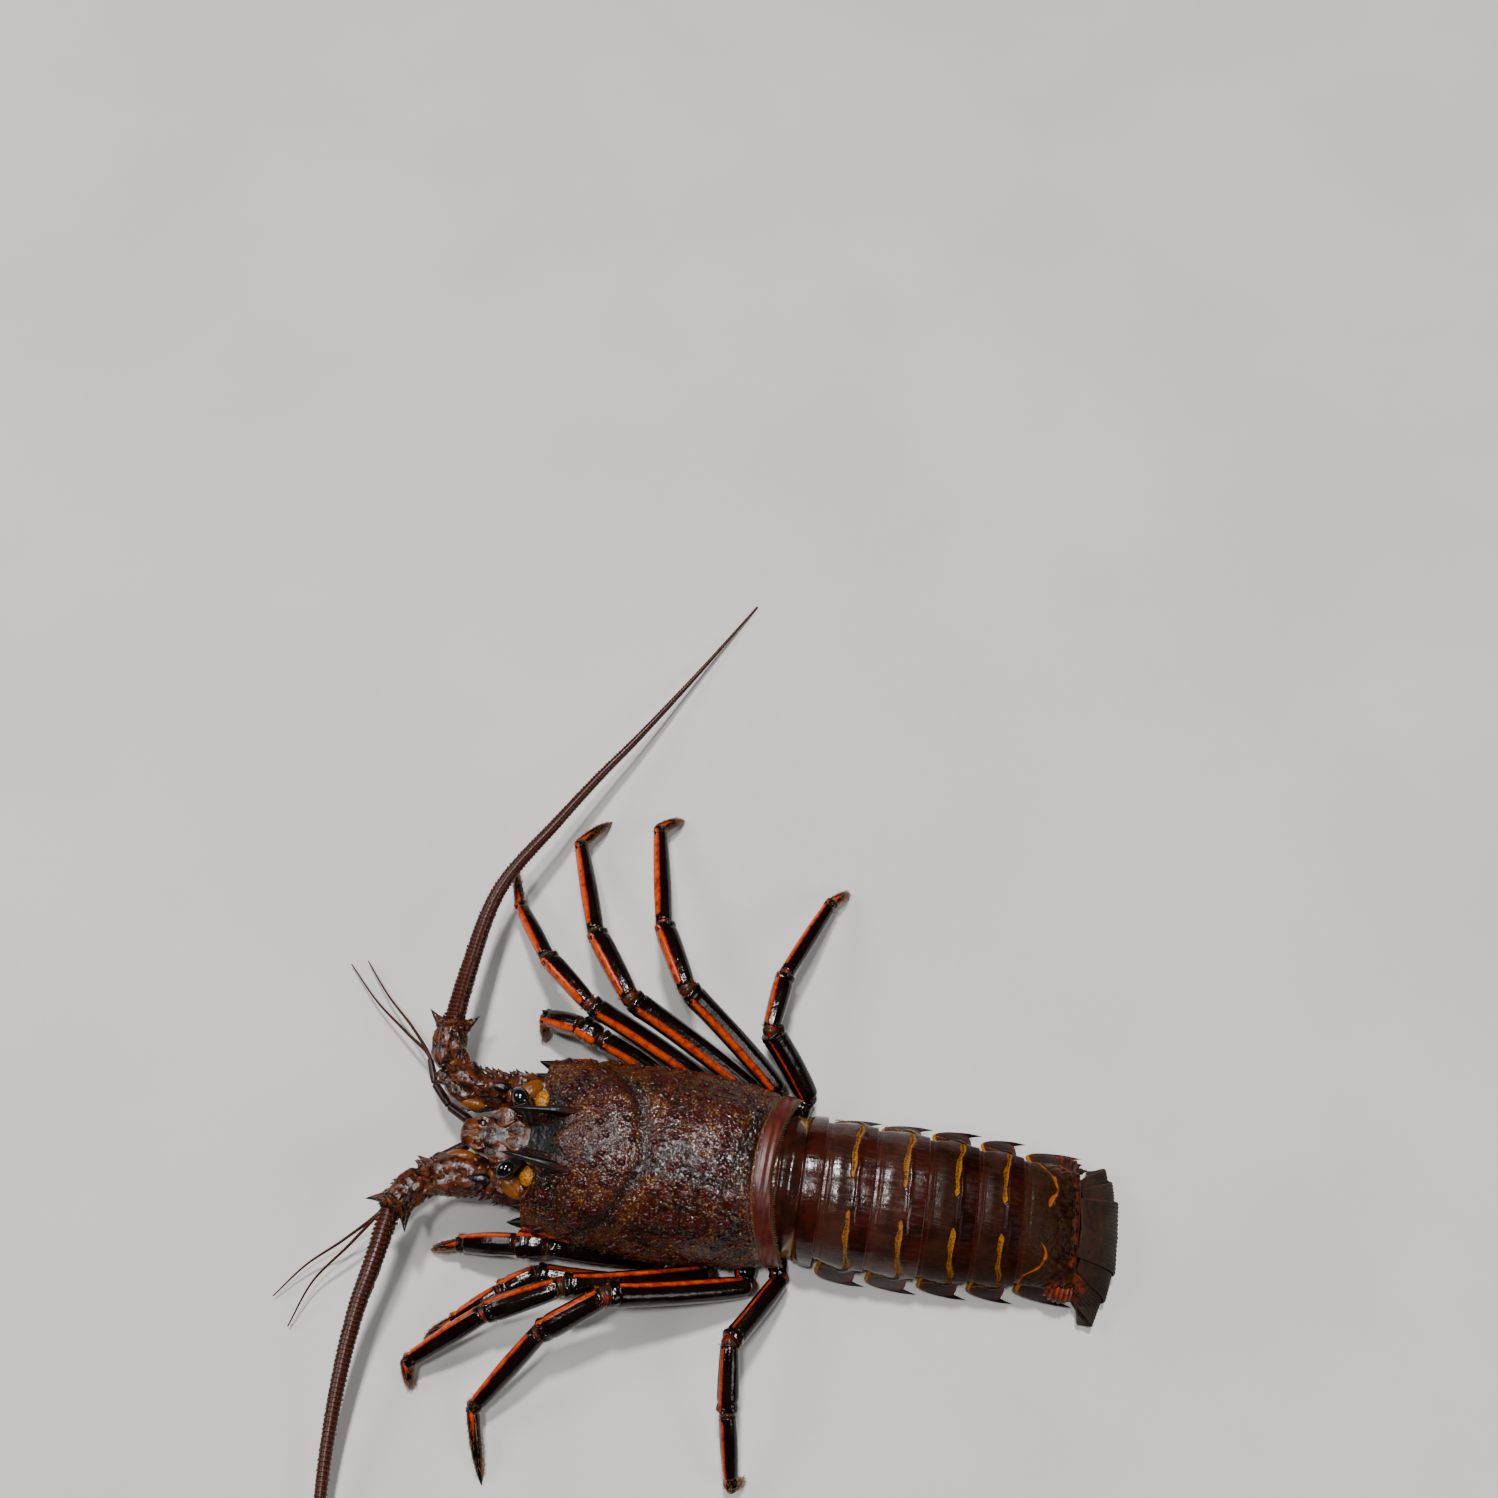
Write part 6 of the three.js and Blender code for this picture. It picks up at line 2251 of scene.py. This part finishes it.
@dataclass
class TailFan:
    """The fan of five blades, folded down and under behind the last ring."""

    path: Stations = (
        (0, 184.4, 26.5), (0, 191, 23.2), (0, 198, 18), (0, 202.6, 11), (0, 202.8, 5),
        (0, 198.5, 1.3), (0, 192, 0.7), (0, 182, 0.7), (0, 172, 0.7),
    )
    telson: Blade = Blade((0, 0), 52, ((0, 12), (0.5, 15), (0.85, 16.5), (1, 12.5)), 0, 0)
    blades: dict[Side, tuple[Blade, Blade]] = field(
        default_factory=lambda: {
            Side.LEFT: (
                Blade((13, 3), 45, INNER_WIDE, 6, 1.8), Blade((18, 1), 44, OUTER_WIDE, 14, 3.6, 0.45)
            ),
            Side.RIGHT: (Blade((12, 3), 45, INNER_WIDE, 2, 1.8), Blade((14.5, 1), 44, OUTER_WIDE, 5, 3.6)),
        }
    )

    def place(self, run: Array, x: Array, depth: Array) -> Array:
        """Points on the fan's surface.

        Args:
            run: Distance along it from the last ring.
            x: Distance across it.
            depth: Distance inward from the outer layer.

        Returns:
            The points.
        """
        fine = np.linspace(0, 1, 400)
        line = through(self.path, fine)
        heading = unit(np.gradient(line, axis=0))
        f = np.clip(run / distances(line)[-1], 0, 1)
        at = [np.interp(f, fine, line[:, k]) for k in (1, 2)]
        go = [np.interp(f, fine, heading[:, k]) for k in (1, 2)]
        fade = np.clip(1 - run / 30, 0, 1) ** 1.2
        drop = 13 * (np.minimum(np.abs(x), 30) / 26) ** 2 * fade
        before = np.minimum(run, 0)
        curl = 4.5 * (np.clip(np.abs(x) - 16, 0, 20) / 20) ** 1.5 * step(2, 14, run)
        y = at[0] + go[1] * depth + go[0] * before - drop * 0.25 - curl
        z = at[1] - go[0] * depth + go[1] * before - drop
        return np.stack([x, y, np.maximum(z, CLEAR)], -1)

    def blade(self, blade: Blade, side: int) -> Skin:
        """One blade with fanning ribs, a raised midrib and a soft toothed edge.

        Args:
            blade: Its sizes.
            side: 1 for left, -1 for right.

        Returns:
            The surface.
        """
        rows, columns = 90, 120
        s = np.linspace(0, 1, rows)[:, None]
        u = np.linspace(-1, 1, columns)[None]
        across = along(blade.wide, s) * u
        reach = s * blade.long - 0.09 * (across**2 / 12) * s
        reach = reach + 0.35 * np.sin(u * 95) * step(0.9, 1.0, s)
        turn = np.radians(blade.turn * side)
        x = side * blade.root[0] + reach * np.sin(turn) + across * np.cos(turn)
        run = blade.root[1] + reach * np.cos(turn) - across * np.sin(turn)
        border = np.minimum(step(0, 0.06, 1 - np.abs(u)), step(0, 0.04, 1 - s)) * np.ones_like(across)
        ribs = 0.16 * np.cos(u * 52) * step(0.12, 0.4, s) * border
        spine = 0.5 * bell(u, 0, 0.12) * (1 - s)
        half = 0.22 + 0.36 * border
        front = self.place(run, x, blade.depth - half - ribs - spine)
        back = self.place(run, x, blade.depth + half + ribs * 0.5)
        hard = blade.hard * step(0.34, 0.14, s + 0.04 * np.cos(u * 9))
        return leaf(front, back, {"hard": hard, "edge": 1 - border})

    def joint(self, side: int) -> Skin:
        """The stout ribbed joint that both blades of one side turn on.

        Args:
            side: 1 for left and -1 for right.

        Returns:
            The surface.
        """
        knots = ((side * 20, 171.5, 14), (side * 24, 178, 13.2), (side * 24.5, 185.5, 11))
        f = np.linspace(0, 1, 60)
        end = dome(f * 14, 14, 2, 3)
        wide = along(((0, 4.8), (0.5, 6.2), (0.8, 5.4), (1, 3.4)), f) * end + THIN
        high = along(((0, 3.8), (0.5, 5.0), (0.8, 4.2), (1, 2.6)), f) * end + THIN
        form = sweep(through(knots, f), wide, high, 36)
        ribs = 0.45 * np.sin(form.rings[..., 1] * 2.9 + form.side * 3)
        tone = 0.62 + ribs * 1.1 if side > 0 else 0.2 + ribs
        body = tube(form.lifted(ribs), {"hard": np.clip(tone, 0, 1.2)})
        roots = np.array([[side * 27.6, 184, 12], [side * 25.2, 186, 13.4]])
        return join([body, spikes(roots, np.tile(vec(side * 0.3, 1, -0.1), (2, 1)), 2.6, 1.1, 10, 7)])

    def build(self, shop: Workshop) -> None:
        """Makes the telson and the four side blades.

        Args:
            shop: The workshop that takes the pieces.
        """
        shop.piece("fan_middle", self.blade(self.telson, 1), Finish.FAN, "telson")
        for side in Side:
            inner, outer = self.blades[side]
            word, sign = side.word, side.value
            outside = join([self.blade(outer, sign), self.joint(sign)])
            for label, skin in (("inner", self.blade(inner, sign)), ("outer", outside)):
                shop.piece(f"fan_{label}_{word}", skin, Finish.FAN, f"uropod_{label}_{word}")


# Legs


@dataclass
class Legs:
    """Ten walking legs, each of six lengths: hip, ring, thigh, wrist, shank and claw."""

    sockets: tuple[float, ...] = (2, 16, 30, 43, 55)
    sizes: tuple[float, ...] = (0.92, 0.9, 1, 1, 0.88)
    joints: dict[Side, Sequence[Stations]] = field(
        default_factory=lambda: {
            Side.RIGHT: (
                ((39, -2, 9), (49.5, -32, 24), (54, -41, 23), (58, -60, 12), (50, -60, 0.6)),
                ((40, 18, 9), (62, -38, 34), (82, -62, 28), (110, -83, 12), (131.5, -91, 0.6)),
                ((39.5, 39, 8.5), (66, -20, 38), (96, -42, 30), (145, -60.5, 10), (161, -49.5, 0.6)),
                ((41.5, 50.5, 8.5), (74, 4, 38), (104, -12, 30), (158, -24, 10), (167, -14.5, 0.6)),
                ((39, 64, 12.5), (62, 43, 34), (89.5, 46, 28), (133, 63, 10), (141.5, 70.5, 0.6)),
            ),
            Side.LEFT: (
                ((38, 8, 13), (40.5, -37.5, 24), (41.5, -50, 23), (44, -77, 11), (47.5, -90.5, 0.6)),
                ((47.5, 19, 5.4), (51, -42, 9.5), (60.5, -56, 9), (75, -74, 5.5), (83, -85, 0.6)),
                ((41, 31, 12), (55.5, -28, 27), (70, -58, 23), (93.5, -88.5, 9), (103, -86, 0.6)),
                ((43, 49, 12), (57, -8, 38), (74.5, -33, 29), (107, -57, 11), (134, -49, 0.6)),
                ((38, 62, 12), (67, 44.5, 30), (93, 47.5, 23), (120, 53, 9), (117, 57, 0.6)),
            ),
        }
    )
    stripe_width: dict[Side, float] = field(default_factory=lambda: {Side.RIGHT: 2.1, Side.LEFT: 1.35})
    stripe_rise: float = 52.0
    brush_count: int = 170
    cuff_count: int = 50

    def stretch(
        self,
        path: Array,
        wide: float,
        high: float,
        swell: Stations,
        side: Side,
        stripe: float,
        ends: tuple[float, float] = (2.4, 2.4),
        power: float = 0.92,
    ) -> Skin:
        """One length of a leg with its stripe.

        Args:
            path: Points of its axis.
            wide: Half width.
            high: Half height.
            swell: Factor of both along the length.
            side: The side of the animal.
            stripe: Half width of the stripe in millimetres, or 0.
            ends: Rounding at the start and the end.
            power: How boxy the section is.

        Returns:
            The surface.
        """
        rows, sides = len(path), 44
        f = np.linspace(0, 1, rows)
        length = float(distances(path)[-1])
        rounded = dome(f * length, length, *ends)
        factor = along(swell, f) * rounded
        form = sweep(path, wide * factor + THIN, high * factor + THIN, sides, power)
        inner = form.side * side.value
        up = np.radians(self.stripe_rise)
        facing = np.sin(up) * form.top + np.cos(up) * inner
        across = (np.cos(up) * form.top - np.sin(up) * inner) * (wide + high) / 2 * factor[:, None]
        fade = (step(0.02, 0.08, f) * step(1.0, 0.94, f))[:, None]
        taper = (0.75 + 0.25 * step(0.0, 0.3, f) * step(1.0, 0.7, f))[:, None]
        turn = np.arctan2(form.top, form.side)
        ridge = 0.3 * bell(across, 0, stripe + 0.3) * (facing > 0)
        ridge = ridge - 0.2 * bell(np.abs(across), stripe + 0.9, 0.5)
        lift = ridge * fade * (stripe > 0)
        f = f[:, None]
        lift = lift + 0.45 * bell(f, 1 - 1.6 / length, 1.1 / length) * np.sin(turn * 3 + 0.8)
        lift = lift - 0.35 * bell(f, 1 - 4.2 / length, 0.8 / length)
        end = step(1.6 / length, 0.0, f) + step(1 - 1.4 / length, 1, f)
        values = {
            "across": across,
            "facing": facing,
            "band": stripe * taper - 6 * (1 - fade),
            "membrane": end * 0.8,
        }
        return tube(form.lifted(lift * rounded[:, None]), values)

    def knuckle(self, point: Array, heading: Array, radius: float) -> Skin:
        """The soft brown skin that shows between two lengths.

        Args:
            point: The joint.
            heading: Direction of the length that leaves it.
            radius: Its radius.

        Returns:
            The surface.
        """
        reach = unit(heading) * radius * 0.95
        form = egg(point - reach, point + reach, radius, radius, 24, 0.5)
        folds = 0.16 * np.sin(form.run * 5)[:, None] * np.ones((1, 24))
        return tube(form.lifted(folds), {"membrane": 0.9, "band": -9.0})

    def upper(self, side: Side, row: int, joints: Array, socket: Array) -> Skin:
        """The inner half: hip, ring and thigh, with two spines over the knee.

        Args:
            side: The side of the animal.
            row: The leg, 0 for the first.
            joints: The leg's joints from the thigh's root.
            socket: Where the hip meets the breast.

        Returns:
            The surface.
        """
        size = self.sizes[row]
        start, knee = joints[0], joints[1]
        stripe = self.stripe_width[side] * (0.55 if row == 4 else 1.0)
        stout = 1.25 if row == 4 and side is Side.RIGHT else 1.0
        hip = straight(socket, socket + (start - socket) * 0.55, 30)
        ring = straight(socket + (start - socket) * 0.5, start + (knee - start) * 0.04, 34)
        bow = vec(0, 0, 1.2) + vec(side.value, 0, 0) * 0.8
        thigh = straight(start, knee, 96, bow)
        swell = ((0, 0.78), (0.08, 0.92), (0.35, 1), (0.8, 1.02), (0.94, 1.08), (1, 1.0))
        hip_swell = ((0, 1), (0.6, 1.02), (1, 0.94))
        ring_swell = ((0, 0.98), (0.5, 0.95), (1, 0.86))
        parts = [
            self.stretch(hip, 5.6 * size, 5.6 * size, hip_swell, side, 0.0),
            self.stretch(ring, 5.0 * size, 5.0 * size, ring_swell, side, stripe * 0.7),
            self.stretch(thigh, 4.9 * size * stout, 5.7 * size, swell, side, stripe / stout**3, (2.0, 1.2)),
            self.knuckle(start, knee - start, 4.0 * size),
        ]
        spots, out = limb_spots(start, knee, vec(0.95, 0.95), vec(60, 125), 5.6 * size)
        heading = out + unit(knee - start) * 0.75
        parts.append(spikes(spots, heading, 2.6, 1.1, 12, 8, unit(knee - start) * 0.1, 1.5))
        return join(parts)

    def lower(self, side: Side, row: int, joints: Array) -> Skin:
        """The outer half: wrist, shank and a hooked claw with a brush of bristles.

        Args:
            side: The side of the animal.
            row: The leg, 0 for the first.
            joints: The leg's joints from the thigh's root.

        Returns:
            The surface.
        """
        rng = np.random.default_rng(SEED + 60 + row * 2 + side.value)
        size = self.sizes[row]
        bulk = size * (1.24 if row == 0 else 1.0)
        knee, wrist, foot, tip = joints[1:]
        stripe = self.stripe_width[side] * (0.6 if row == 4 else 1.0)
        arch = (foot + tip) / 2 + vec(0, 0, 1.6)
        claw = through((foot, arch, tip + unit(tip - arch) * 0.9), np.linspace(0, 1, 60))
        wrist_path = straight(knee, wrist, 50, vec(0, 0, 0.6))
        shank = straight(wrist, foot, 90, vec(0, 0, 0.9))
        wrist_swell = ((0, 0.84), (0.2, 0.96), (0.7, 1.07), (0.93, 1.04), (1, 0.97))
        shank_swell = ((0, 0.9), (0.1, 0.96), (0.45, 1), (0.88, 0.84), (1, 0.76))
        ends = (1.4, 1.2)
        parts = [
            self.stretch(wrist_path, 4.8 * bulk, 5.1 * bulk, wrist_swell, side, stripe, ends),
            self.stretch(shank, 4.2 * bulk, 4.7 * bulk, shank_swell, side, stripe, ends),
            self.knuckle(knee, wrist - knee, 4.0 * size),
            self.knuckle(wrist, foot - wrist, 3.9 * size),
            self.knuckle(foot, tip - foot, 2.8 * size),
        ]
        for start, end, radius in ((knee, wrist, 5.2), (wrist, foot, 4.1)):
            spots, out = limb_spots(start, end, vec(0.93, 0.9), vec(70, 125), radius * bulk)
            parts.append(spikes(spots, out + unit(end - start) * 0.9, 1.5, 0.8, 10, 7))
            count = self.cuff_count
            f = np.concatenate([rng.uniform(0.86, 0.98, count - 20), rng.uniform(0.02, 0.08, 20)])
            spots, out = limb_spots(start, end, f, rng.uniform(-20, 200, count), radius * bulk * 0.85)
            lean = out + unit(end - start) * 0.7 + rng.normal(0, 0.3, (count, 3))
            parts.append(bristles(spots, lean, rng.uniform(1.2, 2.2, count), 0.11, 0.0))
        f = np.linspace(0, 1, 60)
        thick = along(((0, 2.6), (0.2, 2.7), (0.6, 2.2), (0.85, 1.2), (1, 0.12)), f) * size
        form = sweep(claw, thick, thick * 1.08, 28)
        f = f[:, None]
        across = form.side * thick[:, None]
        values = {"tip": step(0.55, 0.8, f), "across": across, "facing": form.top, "band": 1.4 - 4 * f}
        rings = form.rings.copy()
        rings[..., 2] = np.maximum(rings[..., 2], CLEAR)
        parts.append(tube(rings, values))
        count = self.brush_count
        at = rng.integers(4, 50, count)
        turn = rng.uniform(0, 2 * np.pi, count)
        heading = unit(np.gradient(claw, axis=0))[at]
        out = ray(heading, turn)
        roots = claw[at] + out * thick[at][:, None] * 0.95
        lean = out * 0.6 + heading
        tall = rng.uniform(1.2, 2.6, count)
        clear = (roots + unit(lean) * tall[:, None])[:, 2] > 1.0
        parts.append(bristles(roots[clear], lean[clear], tall[clear], 0.11, 0.1))
        return join(parts)

    def build(self, shop: Workshop) -> None:
        """Makes the ten legs, each as its inner and outer half.

        Args:
            shop: The workshop that takes the pieces.
        """
        for side in Side:
            for row in range(5):
                joints = np.array(self.joints[side][row], float) * np.array([side.value, 1, 1])
                socket = vec(side.value * 18, self.sockets[row], 7)
                word = f"{side.word}_{row + 1}"
                upper = self.upper(side, row, joints, socket)
                lower = self.lower(side, row, joints)
                shop.piece(f"thigh_{word}", upper, Finish.LEG, f"leg_{word}_upper")
                shop.piece(f"shank_{word}", lower, Finish.LEG, f"leg_{word}_lower")


# Studio


@dataclass
class Studio:
    """The camera at the photograph's angle, a pale floor and soft light."""

    camera_place: Place = (97.0, 56.94, 688.37)
    look: Place = (-0.4071, -0.0602, -0.9114)
    up: Place = (-0.9016, -0.1334, 0.4115)
    sensor: float = 36.0
    focal_pixels: float = 1502.0
    picture: float = 1498.0
    floor_half: float = 6.0
    target: Place = (0.0, 0.03, 0.0)
    sky_colour: Place = (0.93, 0.96, 1.0)
    sky_strength: float = 0.06

    def camera(self) -> None:
        """Sets the camera from its place and its two directions."""
        made = bpy.data.cameras.new("camera")
        made.sensor_width = self.sensor
        made.lens = self.sensor * self.focal_pixels / self.picture
        made.clip_start = 0.01
        made.clip_end = 50
        camera = bpy.data.objects.new("camera", made)
        ahead = Vector(self.look).normalized()
        right = ahead.cross(Vector(self.up)).normalized()
        up = right.cross(ahead)
        turn = Matrix((right, up, -ahead)).transposed().to_4x4()
        turn.translation = Vector(self.camera_place) * MM
        camera.matrix_world = turn
        bpy.context.scene.collection.objects.link(camera)
        bpy.context.scene.camera = camera

    def floor(self) -> None:
        """Lays the floor just under the animal."""
        mesh = bpy.data.meshes.new("floor")
        size = self.floor_half
        square = [(-size, -size, 0), (size, -size, 0), (size, size, 0), (-size, size, 0)]
        mesh.from_pydata(square, [], [(0, 1, 2, 3)])
        mesh.materials.append(FloorFinish().material())
        floor = bpy.data.objects.new("floor", mesh)
        bpy.context.scene.collection.objects.link(floor)
        floor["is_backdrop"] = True

    def lamp(self, name: str, place: Place, power: float, spread: float = 0.0, size: float = 0.0) -> None:
        """Hangs a light that points at the animal: a far one, given by its spread, or a square near one.

        Args:
            name: The light's name.
            place: Where it hangs, in metres.
            power: Its strength, in watts a square metre for a far light and in watts for a near one.
            spread: Angle in degrees that a far light fills.
            size: Side of a near light, in metres.
        """
        light = bpy.data.lights.new(name, "SUN" if spread else "AREA")
        light.energy = power
        if spread:
            light.angle = float(np.radians(spread))
        else:
            light.size = size
        made = bpy.data.objects.new(name, light)
        made.location = place
        made.rotation_euler = (Vector(self.target) - Vector(place)).to_track_quat("-Z", "Y").to_euler()
        bpy.context.scene.collection.objects.link(made)

    def lights(self) -> None:
        """Two far lights overhead, two soft near ones before and behind, and a dim even sky."""
        self.lamp("key", (-0.5, -0.05, 1.3), 2.6, spread=6)
        self.lamp("overhead", (0.06, -0.07, 1.5), 1.3, spread=5)
        self.lamp("front", (-0.3, -1.3, 1.2), 9, size=0.6)
        self.lamp("rear", (0.5, 1.4, 1.2), 6.5, size=0.6)
        world = bpy.data.worlds.new("sky")
        world.use_nodes = True
        back = world.node_tree.nodes["Background"]
        back.inputs["Color"].default_value = (*self.sky_colour, 1.0)
        back.inputs["Strength"].default_value = self.sky_strength
        bpy.context.scene.world = world

    def build(self) -> None:
        """Sets up camera, floor and lights."""
        self.camera()
        self.floor()
        self.lights()


def corners() -> list[list[float]]:
    """The whole object's lowest and highest corner as plain numbers."""
    return [[float(v) for v in corner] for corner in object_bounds()]


def main() -> None:
    """Builds the animal piece by piece over the frame, then the studio."""
    logging.basicConfig(level=logging.INFO, format="%(message)s")
    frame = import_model()
    LOG.info("frame: %d nodes", len(frame["nodes"]))
    shop = Workshop()
    Studio().build()
    for assembly in (Carapace(), Sternum(), Head(), Feelers(), Abdomen(), TailFan(), Legs()):
        LOG.info("%s", type(assembly).__name__)
        assembly.build(shop)
    LOG.info("all pieces: %d triangles", shop.triangles)


if __name__ == "__main__":
    main()
